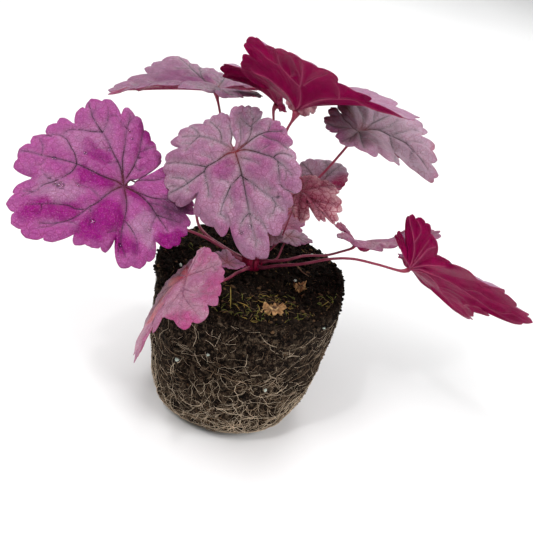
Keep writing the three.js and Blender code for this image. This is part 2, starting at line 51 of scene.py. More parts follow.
# %% [markdown]
# ## Tools for the whole plant
# A mesh is two lists: points and faces. Numpy works out both as whole arrays, and foreach_set copies
# them into Blender in one go, which is much faster than adding faces one by one. Every piece below goes
# through the same two functions, so each is smooth, rides on the plant, and stands for its plain solid
# where it has one.

# %% A mesh from arrays
NO_TRIS = np.zeros((0, 3), int)


def make_mesh(name, points, quads, tris=NO_TRIS, uv=None, fields=None, paint=None):
    """A mesh from points in millimetres, with an optional UV map, number fields and a colour field."""
    corners = np.concatenate([np.ravel(quads), np.ravel(tris)]).astype(np.int32)
    sizes = np.concatenate([np.full(len(quads), 4), np.full(len(tris), 3)])
    starts = np.concatenate([[0], np.cumsum(sizes)[:-1]]).astype(np.int32)
    mesh = bpy.data.meshes.new(name)
    mesh.vertices.add(len(points))
    mesh.vertices.foreach_set("co", (np.asarray(points) * MM).astype(np.float32).ravel())
    mesh.loops.add(len(corners))
    mesh.loops.foreach_set("vertex_index", corners)
    mesh.polygons.add(len(sizes))
    mesh.polygons.foreach_set("loop_start", starts)
    mesh.update(calc_edges=True)
    mesh.polygons.foreach_set("use_smooth", np.ones(len(sizes), bool))
    if uv is not None:
        mesh.uv_layers.new(name="blade").data.foreach_set("uv", uv[corners].astype(np.float32).ravel())
    for field, values in (fields or {}).items():
        layer = mesh.attributes.new(field, "FLOAT", "POINT")
        layer.data.foreach_set("value", np.asarray(values, np.float32))
    if paint is not None:
        layer = mesh.attributes.new("paint", "FLOAT_COLOR", "POINT")
        rgba = np.concatenate([paint, np.ones((len(paint), 1))], 1)
        layer.data.foreach_set("color", rgba.astype(np.float32).ravel())
    return mesh


def add_piece(name, mesh, material, slot, *nodes):
    """Puts a finished mesh into the scene, riding on the plant, and hides the solids it stands for."""
    piece = bpy.data.objects.new(name, mesh)
    bpy.context.scene.collection.objects.link(piece)
    mesh.materials.append(material)
    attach(piece, "root")
    if nodes:
        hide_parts(*nodes)


def add_shape(name, shape, material, slot, *nodes):
    """Adds a shape, which is (points, quads, tris, fields), as a piece of its own."""
    points, quads, tris, fields = shape
    add_piece(name, make_mesh(name, points, quads, tris, fields=fields), material, slot, *nodes)


# %% Join several small shapes into one mesh
def join_shapes(shapes):
    """Stacks (points, quads, tris, fields) of many shapes, moving each one's face numbers up."""
    offset = np.cumsum([0] + [len(shape[0]) for shape in shapes[:-1]])
    points = np.concatenate([shape[0] for shape in shapes])
    quads = np.concatenate([shape[1] + k for shape, k in zip(shapes, offset)])
    tris = np.concatenate([shape[2] + k for shape, k in zip(shapes, offset)])
    names = shapes[0][3].keys()
    fields = {name: np.concatenate([shape[3][name] for shape in shapes]) for name in names}
    return points, quads, tris, fields


# %% Faces over a grid of point numbers
def grid_quads(ids):
    """One face between each four neighbours of a table of point numbers."""
    return np.stack([ids[:-1, :-1], ids[:-1, 1:], ids[1:, 1:], ids[1:, :-1]], -1).reshape(-1, 4)


def two_skins(quads, loop, count):
    """A patch, its flipped copy count points later, and a rim that joins both along the outer loop."""
    after = np.roll(loop, -1)
    rim = np.stack([loop + count, after + count, after, loop], 1)
    return np.concatenate([quads, quads[:, ::-1] + count, rim])


def ring_faces(rows, sides, low, high):
    """Walls between rings that follow one another, and fans from the points low and high at the ends."""
    row = np.arange(rows - 1)[:, None] * sides
    j = np.arange(sides)
    k = (j + 1) % sides
    last = (rows - 1) * sides
    quads = np.stack([row + j, row + k, row + sides + k, row + sides + j], -1).reshape(-1, 4)
    fans = [np.stack([np.full(sides, low), k, j], 1), np.stack([np.full(sides, high), last + j, last + k], 1)]
    return quads, np.concatenate(fans)


def spun(r, angle, z):
    """Points at a radius, an angle and a height: (r cos, r sin, z)."""
    return np.stack(np.broadcast_arrays(r * np.cos(angle), r * np.sin(angle), z), -1)


print("faces of a grid of 3 by 4 points:", len(grid_quads(np.arange(12).reshape(3, 4))))

# %% [markdown]
# Nature is never even, so almost every shape here is disturbed by noise. Value noise gives each corner
# of a unit lattice a repeatable random number and blends the eight corners round a point smoothly.

# %% Smooth noise in space
# Three large odd numbers that keep the corners of the lattice from looking alike.
SCATTER = np.array([374761393, 668265263, 2147483629])


def noise(points, size, seed=0):
    """Value noise from -1 to 1: lattice numbers, blended by 3u^2 - 2u^3 along each axis."""
    p = np.asarray(points, float) / size + 100.0 + 7.31 * seed
    low = np.floor(p).astype(np.int64)
    u = p - low
    u = u * u * (3 - 2 * u)
    total = np.zeros(len(p))
    for dx in (0, 1):
        for dy in (0, 1):
            for dz in (0, 1):
                h = ((low + (dx, dy, dz)) * SCATTER).sum(1)
                h = (h ^ (h >> 13)) * 1274126177 & 0xFFFFFFFF
                h = (h ^ (h >> 16)) & 0xFFFF
                w = np.where(dx, u[:, 0], 1 - u[:, 0]) * np.where(dy, u[:, 1], 1 - u[:, 1])
                total += w * np.where(dz, u[:, 2], 1 - u[:, 2]) * (h / 32767.5 - 1)
    return total


def rough(points, size, octaves=3, seed=0):
    """Noise added to itself at half the size and half the strength, octave by octave."""
    return sum(noise(points, size / 2**k, seed + k) / 2**k for k in range(octaves)) / 1.6


def smoothstep(x, low, high):
    """0 below low, 1 above high, and 3u^2 - 2u^3 between."""
    u = np.clip((np.asarray(x, float) - low) / (high - low), 0, 1)
    return u * u * (3 - 2 * u)


def unit(v):
    """Each row divided by its length."""
    return v / np.maximum(np.linalg.norm(v, axis=-1, keepdims=True), 1e-9)


def tint(r, g, b):
    """A screen colour, each part from 0 to 255, as the light that a shader works with."""
    c = np.array([r, g, b], float) / 255
    return np.where(c <= 0.04045, c / 12.92, ((c + 0.055) / 1.055) ** 2.4)


def mix(a, b, share):
    """a where share is 0, b where it is 1, row by row."""
    share = np.asarray(share)[..., None]
    return a * (1 - share) + b * share


print("noise in the middle of a cell:", round(float(noise(np.array([[0.5, 0.5, 0.5]]), 1.0)[0]), 3))

# %% [markdown]
# Stalks, veins, roots, grass and the twig are all one idea: a closed profile carried along a path.

# %% A tube along a path
def close_rings(rings, start, end):
    """Walls between rings of shape (steps, sides, 3), closed by a point at each end."""
    steps, sides = rings.shape[:2]
    quads, tris = ring_faces(steps, sides, steps * sides, steps * sides + 1)
    return np.concatenate([rings.reshape(-1, 3), [start, end]]), quads, tris


def tube(path, radius, sides):
    """Rings of a circle set square to the path: centre + r cos(a) n + r sin(a) (t x n)."""
    path = np.asarray(path, float)
    radius = np.broadcast_to(radius, len(path))
    t = unit(np.gradient(path, axis=0))
    beside = np.eye(3)[np.argmin(np.abs(t).max(0))]
    n = unit(np.cross(t, beside))
    b = np.cross(t, n)
    a = np.arange(sides) * 2 * np.pi / sides
    ring = np.cos(a)[None, :, None] * n[:, None] + np.sin(a)[None, :, None] * b[:, None]
    rings = path[:, None] + radius[:, None, None] * ring
    start, end = path[0] - t[0] * radius[0] * 0.5, path[-1] + t[-1] * radius[-1] * 0.5
    points, quads, tris = close_rings(rings, start, end)
    along = np.concatenate([np.repeat(np.linspace(0, 1, len(path)), sides), [0, 1]])
    turn = np.concatenate([np.tile(a / (2 * np.pi), len(path)), [0, 0]])
    return points, quads, tris, {"along": along, "turn": turn}


def smooth_path(knots, steps):
    """A curve through the knots: each span is a cubic whose end slopes come from uneven knot spacing."""
    p = np.asarray(knots, float)
    p = np.concatenate([[2 * p[0] - p[1]], p, [2 * p[-1] - p[-2]]])
    gap = np.linalg.norm(np.diff(p, axis=0), axis=1)[:, None] ** 0.5
    a, b = gap[:-1], gap[1:]
    slope = (p[1:-1] - p[:-2]) / a - (p[2:] - p[:-2]) / (a + b) + (p[2:] - p[1:-1]) / b
    u = np.linspace(0, 1, 24, endpoint=False)[:, None]
    spans = []
    for k in range(len(p) - 3):
        p1, p2, width = p[k + 1], p[k + 2], gap[k + 1]
        m1, m2 = slope[k] * width, slope[k + 1] * width
        spans.append(p1 * (2 * u**3 - 3 * u**2 + 1) + m1 * (u**3 - 2 * u**2 + u)
                     + p2 * (3 * u**2 - 2 * u**3) + m2 * (u**3 - u**2))
    dense = np.concatenate(spans + [p[-2:-1]])
    walk = np.concatenate([[0], np.cumsum(np.linalg.norm(np.diff(dense, axis=0), axis=1))])
    even = np.linspace(0, walk[-1], steps + 1)
    return np.stack([np.interp(even, walk, dense[:, k]) for k in range(3)], 1)


print("a path in 8 steps has points:", len(smooth_path([(0, 0, 0), (1, 2, 0), (3, 3, 1)], 8)))

# %% [markdown]
# ## Finishes
# A shader is a small graph. This helper adds one node, sets its sockets and wires it, so that each
# finish below reads as a short list of steps. Patterns read the object's own coordinates, its leaf map
# or a number stored on its points, so they stay put from every side.

# %% Shader helper
class Finish:
    """A material with a Principled shader and a short way to add nodes to it."""

    def __init__(self, name, **settings):
        self.material = bpy.data.materials.new(name)
        self.material.use_nodes = True
        self.tree = self.material.node_tree
        self.shader = self.tree.nodes["Principled BSDF"]
        self.put(self.shader, settings)

    def wire(self, socket, value):
        """Links a socket to another node's output, or gives it a plain value."""
        if isinstance(value, bpy.types.NodeSocket):
            self.tree.links.new(value, socket)
        else:
            socket.default_value = value

    def put(self, node, settings):
        """Wires each socket of a node by its name, or by its number as in _0."""
        for key, value in settings.items():
            self.wire(node.inputs[int(key[1:]) if key[0] == "_" else key.replace("_", " ")], value)

    def add(self, kind, out=0, props=(), **settings):
        """Adds a node and returns one of its outputs."""
        node = self.tree.nodes.new("ShaderNode" + kind)
        for key, value in props:
            setattr(node, key, value)
        self.put(node, settings)
        return node.outputs[out]

    def field(self, name, out="Fac"):
        """A number or a colour stored on the mesh's points."""
        return self.add("Attribute", out, [("attribute_name", name)])

    def place(self):
        """The place on the object, in its own axes."""
        return self.add("TexCoord", "Object")

    def grain(self, size, detail=3):
        """Noise whose features are about size millimetres across."""
        return self.add("TexNoise", "Fac", Vector=self.place(), Scale=1 / (size * MM), Detail=detail)

    def math(self, operation, a, b=0.0):
        """One step of sums, such as ADD or MULTIPLY."""
        return self.add("Math", 0, [("operation", operation)], _0=a, _1=b)

    def band(self, value, low, high, to_low=0.0, to_high=1.0):
        """Maps a value from one range to another and stops at both ends."""
        return self.add("MapRange", 0, [("interpolation_type", "SMOOTHSTEP")], Value=value, From_Min=low,
                        From_Max=high, To_Min=to_low, To_Max=to_high)

    def blend(self, share, a, b, how="MIX"):
        """Mixes two colours."""
        node = self.tree.nodes.new("ShaderNodeMix")
        node.data_type = "RGBA"
        node.blend_type = how
        for number, value in ((0, share), (6, a), (7, b)):
            single = isinstance(value, (bpy.types.NodeSocket, int, float))
            self.wire(node.inputs[number], value if single else (*value, 1))
        return node.outputs[2]

    def bump(self, height, distance, strength=1.0):
        """Shades the surface as if it rose by the height times the distance in millimetres."""
        return self.add("Bump", 0, Height=height, Distance=distance * MM, Strength=strength)

    def done(self, **sockets):
        """Wires the shader itself and returns the material."""
        self.put(self.shader, sockets)
        return self.material


print("tools ready")

# %% [markdown]
# ## Leaves
# A heuchera leaf is round with a deep slit where the stalk joins, and its lobes are edged with small
# blunt teeth. Each row below holds one leaf: where the stalk meets it, how its midrib is turned, its
# length, the slit's edges, the tooth step, every lobe as (angle, reach, lift, bend), the notches between
# the lobes, and the stalk's way up from the crown. Angles are in degrees from the midrib. BLADE holds
# what the leaves share: how far the slit opens at the stalk, its edges, a plain notch, and the teeth.

# %% Leaf table
BLADE = {"keyhole": {"leaf_01": 1.6, "leaf_02": 1.6}, "seam": (0.66, 0.66), "notch": 0.84, "depth": 0.045,
         "power": 0.55, "sharp": {"leaf_13": 1.1, "leaf_08": 1.5, "leaf_05": 0.7, "leaf_04": 0.8}}
LEAF_ROWS = [
    ("leaf_01", "magenta", (-72, -34, 146), -135, -15, -34, 60, (0.95, 0.5), 11,
     ((-157, 0.55, 7, -11), (-133, 0.65, 6, -11), (-109, 0.68, 6, -11), (-60, 0.78, 8, -10),
      (-34, 0.73, 14, -6), (0, 1, 7, -11), (46, 0.92, 3, -14), (79, 0.81, 3, -13), (106, 0.84, 7, -10),
      (124, 0.73, 8, -9), (157, 0.48, 7, -10)),
     ((-145, 0.84), (-127, 0.89), (-87, 0.8), (-50, 0.74), (-20, 0.84), (31, 0.8), (65, 0.97), (83, 0.88),
      (118, 0.89), (138, 0.97)),
     ((-6.6, -2.2, 98.9), (-18, -7, 107), (-28, -12, 114), (-37, -19, 120), (-58, -26, 128))),
    ("leaf_02", "lilac", (-20, -28, 176), -68, -44, 44, 55, (0.9, 0.6), 11,
     ((-150, 0.43, 6, -12), (-86, 0.59, 7, -11), (-53, 0.79, 7, -16), (-33, 0.81, 2, -24),
      (-3, 1.05, -1, -25), (26, 0.75, 2, -24), (65, 0.79, 5, -17), (85, 0.75, 6, -11),
      (111, 0.66, 7, -10), (147, 0.44, 2, -13)),
     ((-126, 0.8), (-80, 0.93), (-46, 0.94), (-15, 0.87), (12, 0.78), (50, 0.75), (71, 0.97), (103, 0.84),
      (137, 0.95)),
     ((-3.2, 2.2, 102.3), (-7, 5, 117), (-13, 2, 143), (-17, -10, 163))),
    ("leaf_03", "lilac", (-40, 47, 177), 186, -15, 23, 58, None, 11,
     ((-146, 0.51, -9, -12), (-106, 0.66, 0, -31), (-80, 0.82, 10, -29), (-49, 0.88, 14, -25),
      (-2, 1.07, 9, -11), (54, 0.92, 29, -5), (76, 0.86, 31, -27), (99, 0.63, 25, -28),
      (154, 0.48, 3, -22)),
     None,
     ((-7, 2, 98), (-18, 8, 99), (-29, 14, 101), (-35, 19, 104), (-39, 27, 115), (-38, 34, 136),
      (-34, 42, 159))),
    ("leaf_04", "rose", (-4, 32, 182), 226, 49, -8, 42, None, 11,
     ((-124, 0.12, 1, -19), (-90, 0.22, 3, -18), (-45, 0.34, 8, -23), (6, 1.04, 6, -41),
      (45, 0.72, -1, -66), (76, 0.46, 8, -42), (112, 0.26, 12, -16), (153, 0.2, 2, -19)),
     ((-107, 0.84), (-68, 0.84), (-19, 0.9), (26, 0.97), (62, 0.9), (97, 0.9), (131, 0.84)),
     ((-2, 6, 101), (-3, 15, 120), (-4, 25, 148), (-4, 31, 171))),
    ("leaf_05", "rose", (7, -9, 196), -19, 5, -49, 63, None, 11,
     ((-155, 0.36, 34, -4), (-125, 0.54, 40, -4), (-95, 0.78, 52, -5), (-42, 0.82, 54, -23),
      (17, 1.03, 17, -32), (44, 0.8, 13, -35), (61, 0.86, 13, -37), (78, 0.88, 16, -41),
      (95, 0.76, 20, -41), (125, 0.73, 27, -30), (155, 0.6, 26, -33)),
     ((-140, 0.84), (-110, 0.84), (-69, 0.84), (-13, 0.84), (31, 0.82), (54, 0.9), (68, 0.96), (87, 0.98),
      (107, 0.94), (140, 0.9)),
     ((1.8, 3.6, 102.2), (3, 2, 121), (3, -2, 148), (3, -7, 180))),
    ("leaf_06", "lilac", (41, 4, 188), -11, -7, -4, 46, None, 11,
     ((-149, 0.42, 25, -10), (-124, 0.68, 20, -18), (-90, 0.84, 21, -14), (-46, 0.94, 14, -7),
      (-22, 0.98, 8, -13), (2, 1.06, -1, -21), (16, 0.7, 1, -23), (50, 0.84, 11, -24), (74, 0.8, 12, -22),
      (102, 0.61, 7, -26), (141, 0.5, 10, -20), (165, 0.43, 22, -14)),
     ((-136, 0.84), (-107, 0.84), (-62, 0.74), (-31, 0.84), (-10, 0.93), (9, 0.95), (25, 0.6), (62, 0.84),
      (85, 0.95), (113, 0.81), (153, 0.87)),
     ((4.6, 3.7, 100.6), (10, 7, 119), (17, 9, 138), (28, 9, 156), (37, 6, 176))),
    ("leaf_07", "lilac", (29, 27, 141), -13, 20, 12, 21, None, 15,
     ((-154, 0.8, 15, -8), (-130, 0.97, 24, -2), (-87, 0.95, 21, -12), (-58, 1, 15, -18),
      (10, 0.72, 12, -34), (42, 0.78, 13, -34), (90, 0.8, 1, -32), (124, 0.6, 6, -16), (154, 0.5, 3, -17)),
     ((-142, 0.98), (-109, 0.97), (-73, 0.98), (-24, 0.98), (26, 0.96), (66, 0.9), (107, 0.84),
      (139, 0.84)),
     ((5.2, 5.4, 97.6), (8, 11, 110), (13, 17, 120), (20, 23, 128), (26, 27, 136))),
    ("leaf_08", "rose", (18, -5, 151), -8, -2, 17, 25, None, 12,
     ((-120, 0.5, 2, -19), (-80, 0.6, 3, -18), (-33, 0.84, 6, -16), (-1, 0.98, 3, -18),
      (26, 1.08, 0, -20), (42, 0.93, 2, -19), (75, 0.87, 2, -19), (110, 0.6, 1, -19)),
     ((-100, 0.84), (-56, 0.84), (-16, 0.88), (13, 0.9), (34, 0.78), (52, 0.4), (92, 0.8)),
     ((4.9, 1, 101.5), (13, -1, 116), (16, -4, 135))),
    ("leaf_09", "pink", (11, 35, 105), -12, 26, 24, 19, None, 15,
     ((-120, 0.6, 5, -5), (-59, 0.86, 9, -3), (-24, 0.91, 4, -7), (2, 0.97, 4, -6), (24, 0.96, 4, -7),
      (60, 0.8, 2, -8), (120, 0.6, 1, -9)),
     None,
     ((3.2, 6.8, 97.4), (6, 16, 97.5), (8, 25, 97))),
    ("leaf_10", "lilac", (18, 16, 110), 9, 3, 0, 15, None, 15,
     ((-120, 0.5, 1, -9), (-61, 0.7, 2, -9), (-26, 0.84, 0, -10), (1, 1.02, 0, -15), (25, 0.83, 1, -9),
      (60, 0.7, 0, -10), (120, 0.5, 0, -10)),
     None,
     ((7.2, 1.4, 98), (14, 7, 99), (16, 12, 104), (17, 15, 107))),
    ("leaf_11", "lilac", (7, -3, 119), -27, 12, 31, 8.9, None, 15,
     ((-120, 0.6, 3, -8), (-60, 0.8, 4, -7), (-27, 0.87, 8, -4), (-1, 1, 4, -12), (26, 0.91, -1, -10),
      (62, 0.82, -3, -12), (120, 0.6, -2, -11)),
     None,
     ((2.9, -1.1, 102.7), (5, -2, 108), (6, -3, 114))),
    ("leaf_12", "lilac", (58, 21, 113), 0, 4, -22, 46, None, 11,
     ((-151, 0.38, 30, -8), (-124, 0.42, 30, -8), (-85, 0.32, -12, -30), (-43, 0.96, -13, 52),
      (1, 1.08, 6, 16), (50, 0.85, 12, -10), (80, 0.78, 7, -15), (124, 0.5, 12, -6), (150, 0.26, 25, -6)),
     ((-137, 0.84), (-104, 0.84), (-62, 0.8), (-21, 0.84), (25, 0.84), (65, 0.84), (102, 0.84),
      (137, 0.84)),
     ((7, -1, 100), (19, -1, 104), (29, 3, 107), (42, 11, 106), (51, 16, 108))),
    ("leaf_13", "rose", (85, -16, 123), -48, -21, -49, 69, None, 11,
     ((-150, 0.2, 3, -3), (-84, 0.5, 12, 0), (-52, 0.76, 21, -8), (-24, 0.65, 27, -6), (1, 1.02, 31, -1),
      (33, 0.93, 29, -4),
      (52, 0.98, 21, -9), (65, 0.6, 20, -5), (76, 0.66, 20, -3), (95, 0.64, 22, -2), (112, 0.56, 20, -2),
      (136, 0.32, 12, -4)),
     ((-110, 0.84), (-66, 0.6), (-38, 0.97), (-12, 0.85), (18, 0.95), (43, 0.95), (60, 0.95), (69, 0.96),
      (85, 0.98), (104, 0.97), (122, 0.5)),
     ((5.6, -4.9, 97.9), (15, -7.5, 103), (27, -9, 108), (43, -10, 116), (54, -12, 120), (68, -14, 121))),
    ("leaf_14", "pink", (-31, -51, 111), -124, -31, 60, 53, None, 11,
     ((-156, 0.33, 17, -16), (-114, 0.51, -16, -28), (-79, 0.72, -20, -34), (-58, 0.84, -17, -32),
      (-45, 0.85, -11, -28), (-32, 0.66, -4, -24), (-1, 0.98, -5, -14), (33, 0.92, 6, -28),
      (58, 0.75, 15, -33), (78, 0.66, 21, -34), (100, 0.54, 21, -26), (154, 0.35, 12, -21)),
     ((-135, 0.96), (-91, 0.96), (-67, 0.89), (-51, 0.94), (-40, 0.97), (-8, 0.5), (16, 0.84), (44, 0.84),
      (67, 0.84), (88, 0.84), (124, 0.84)),
     ((-1.2, -7.4, 97.6), (-6, -15, 98), (-13, -27, 98), (-22, -42, 103))),
    ("leaf_15", "lilac", (-13, -21, 106), 1, 0, -6, 12, None, 15,
     ((-133, 0.96, 7, -2), (-98, 1.06, 10, 1), (-57, 0.72, 3, -5), (-1, 0.88, 7, -4), (55, 0.79, 8, -4),
      (120, 0.6, 5, -6)),
     None,
     ((-4.3, -5.9, 98.2), (-8, -15, 101))),
    ("leaf_16", "rose", (8, 52, 185), -61, -27, -9, 16, None, 15,
     ((-154, 0.5, -1, -11), (-124, 0.65, -2, -22), (-90, 0.8, -3, -23), (-45, 0.9, -7, -27),
      (3, 0.97, -4, -24), (41, 0.94, -5, -25), (90, 0.8, -2, -22), (124, 0.65, -1, -21),
      (154, 0.5, -1, -11)),
     None,
     ((0.6, 7.6, 97.4), (1, 24, 125), (3, 42, 155), (6, 49, 168))),
]


class Leaf:
    """One row of the table: its angles as arrays, and its axes w (right), m (midrib) and n (up)."""

    def __init__(self, row):
        self.name, self.kind, at, *turns, self.length, seam, self.tooth, lobes, notches, route = row
        self.at = np.array(at, float)
        self.tips, self.reaches, self.lifts, self.bends = np.array(lobes, float).T
        if notches is None:
            notches = [((a + b) / 2, BLADE["notch"]) for a, b in zip(self.tips[:-1], self.tips[1:])]
        left, right = seam or BLADE["seam"]
        self.cuts = np.array([(-180, left), *notches, (180, right)], float)
        self.route = np.array(route, float)
        # The smallest leaves have thinner stalks.
        self.thin = 0.75 if self.length < 30 else 1.0
        h, p, q = np.radians(turns)
        self.m = np.array([math.cos(p) * math.cos(h), math.cos(p) * math.sin(h), math.sin(p)])
        side = np.array([math.sin(h), -math.cos(h), 0])
        self.n = np.cross(side, self.m) * math.cos(q) + side * math.sin(q)
        self.w = np.cross(self.m, self.n)


LEAVES = [Leaf(row) for row in LEAF_ROWS]
print("leaves:", len(LEAVES))

# %% [markdown]
# A blade is a function of two parameters: the angle from the midrib and the share of the way out to the
# edge. The table gives the reach, lift and bend at a few angles, and a cubic carries them round.

# %% Blade formulas
def along(angle, knots, values):
    """Values at a few angles carried smoothly to any angle: a cubic with the neighbours' mean slope."""
    a = np.concatenate([[-180.0], knots, [180.0]])
    v = np.concatenate([values[:1], values, values[-1:]])
    slope = np.zeros(len(a))
    slope[1:-1] = (v[2:] - v[:-2]) / (a[2:] - a[:-2])
    k = np.clip(np.searchsorted(a, angle, side="right") - 1, 0, len(a) - 2)
    w = a[k + 1] - a[k]
    u = (angle - a[k]) / w
    rise = v[k] * (2 * u**3 - 3 * u**2 + 1) + v[k + 1] * (3 * u**2 - 2 * u**3)
    return rise + slope[k] * w * (u**3 - 2 * u**2 + u) + slope[k + 1] * w * (u**3 - u**2)


def reach(leaf, angle):
    """The edge's distance as a share of the length: the lobe's sweep, less its notches, less its teeth."""
    cuts, shares = leaf.cuts[:, 0], leaf.cuts[:, 1]
    k = np.clip(np.searchsorted(cuts, angle, side="right") - 1, 0, len(leaf.tips) - 1)
    low, high, tip = cuts[k], cuts[k + 1], leaf.tips[k]
    teeth = np.maximum(1, np.floor((high - low) / leaf.tooth + 0.5))
    s = (angle - low) / (high - low) * teeth
    edge, share = np.where(angle < tip, low, high), np.where(angle < tip, shares[k], shares[k + 1])
    lobe = 1 - (1 - share) * np.clip((angle - tip) / (edge - tip), 0, 1) ** 3.8
    uneven = BLADE["sharp"].get(leaf.name, 1) * (1 + 0.4 * np.sin(7.3 * k + 2.1 * np.floor(s) + leaf.length))
    point = np.exp(-(((s - np.floor(s) - 0.5) / 0.09) ** 2))
    gap = BLADE["depth"] * uneven * (1 - np.abs(np.sin(np.pi * s)) ** BLADE["power"])
    scallop = 1 - gap + 0.008 * uneven * point
    return along(angle, leaf.tips, leaf.reaches) * lobe * scallop


def blade_flat(leaf, angle, t):
    """The middle surface in the leaf's own axes: an arc of length t L, from the lift, turning by the bend."""
    lift = np.radians(along(angle, leaf.tips, leaf.lifts))
    bend = np.radians(along(angle, leaf.tips, leaf.bends))
    bend = np.where(np.abs(bend) < 1e-4, 1e-4, bend)
    out = leaf.length / bend * (np.sin(lift + bend * t) - np.sin(lift))
    up = leaf.length / bend * (np.cos(lift) - np.cos(lift + bend * t))
    half = 0.1 + 0.9 * BLADE["keyhole"].get(leaf.name, 0) * np.exp(-(((t * leaf.length - 4.2) / 2.4) ** 2))
    opened = np.minimum(20, np.degrees(np.arcsin(np.minimum(0.9, half / np.maximum(out, half)))))
    near = np.clip((np.abs(angle) - 130) / 50, 0, 1)
    turned = np.radians(angle - np.sign(angle) * opened * near * near)
    return np.stack([out * np.sin(turned), out * np.cos(turned), up], -1)


def blade_place(leaf, flat):
    """Leaf axes to the plant's axes."""
    return leaf.at + flat[:, :1] * leaf.w + flat[:, 1:2] * leaf.m + flat[:, 2:] * leaf.n


def blade_way(leaf, flat):
    """A direction in the leaf's axes as one in the plant's axes."""
    return flat[:, :1] * leaf.w + flat[:, 1:2] * leaf.m + flat[:, 2:] * leaf.n


def polar(leaf, flat):
    """A spot's angle from the midrib, and its distance as a share of the leaf's length."""
    return np.degrees(np.arctan2(flat[:, 0], flat[:, 1])), np.hypot(flat[:, 0], flat[:, 1]) / leaf.length


def blade_normal(leaf, angle, t):
    """The cross product of two short steps on the middle surface."""
    s = np.maximum(t, 0.04)
    turn = blade_flat(leaf, np.minimum(angle + 1, 180), s) - blade_flat(leaf, np.maximum(angle - 1, -180), s)
    out = blade_flat(leaf, angle, s + 0.01) - blade_flat(leaf, angle, s - 0.01)
    return unit(np.cross(turn, out))


print("midrib of leaf_01:", round(float(reach(LEAVES[0], np.array([0.0]))[0] * LEAVES[0].length), 1), "mm")

# %% [markdown]
# A polar grid would crowd its points at the stalk and starve the edge. A square grid wrapped on a disc
# keeps them even: ring k of the square holds 8k points, and they are spread over the full turn. The
# column below the centre is doubled, and this is where the slit opens.

# %% A square grid wrapped on a disc
def disc_grid(n):
    """Ring = max(|u|, |v|); along a side the angle grows by 45 degrees times the other coordinate / ring."""
    step = np.arange(n + 1) - n // 2
    u, v = np.meshgrid(step, step)
    ring = np.maximum(np.abs(u), np.abs(v))
    safe = np.maximum(ring, 1)
    angle = np.where(v == ring, 45.0 * u / safe, 0.0)
    angle = np.where((u == ring) & (v < ring), 90 - 45.0 * v / safe, angle)
    angle = np.where((-u == ring) & (v < ring), -90 + 45.0 * v / safe, angle)
    angle = np.where((-v == ring) & (u > 0), 180 - 45.0 * u / safe, angle)
    angle = np.where((-v == ring) & (u <= 0), -180 - 45.0 * u / safe, angle)
    angle[n // 2, n // 2] = 0
    share = 2.0 * ring / n
    ids = np.arange((n + 1) ** 2).reshape(n + 1, n + 1)
    c = n // 2
    doubled = ids.size + np.arange(c)
    angle = np.concatenate([angle.ravel(), np.full(c, 180.0)])
    share = np.concatenate([share.ravel(), share[:c, c]])
    right = ids.copy()
    right[:c, c] = doubled
    quads = [grid_quads(ids[:, :c + 1]), grid_quads(right[:, c:])]
    loop = [doubled[:1], ids[0, c + 1:], ids[1:, n], ids[n, n - 1::-1], ids[n - 1::-1, 0], ids[0, 1:c + 1],
            ids[1:c + 1, c], doubled[:0:-1]]
    return angle, share, np.concatenate(quads), np.concatenate(loop)


print("faces of a disc of 28 by 28:", len(disc_grid(28)[2]))

# %% [markdown]
# ## Veins
# Each vein is a line on the flattened leaf, thick at the stalk and fine at the edge. The main ones run
# to the lobes, and side veins leave them at a slant. Points of the blade then know how far the nearest
# vein is, and this one number drives their colour, the sunk line above, the rib below and the quilting.
# Five leaves have rows of their own: a vein's width as a share of the widest, and its points (x, y) in
# millimetres, x to the right of the midrib and y along it. The others grow theirs by rule.

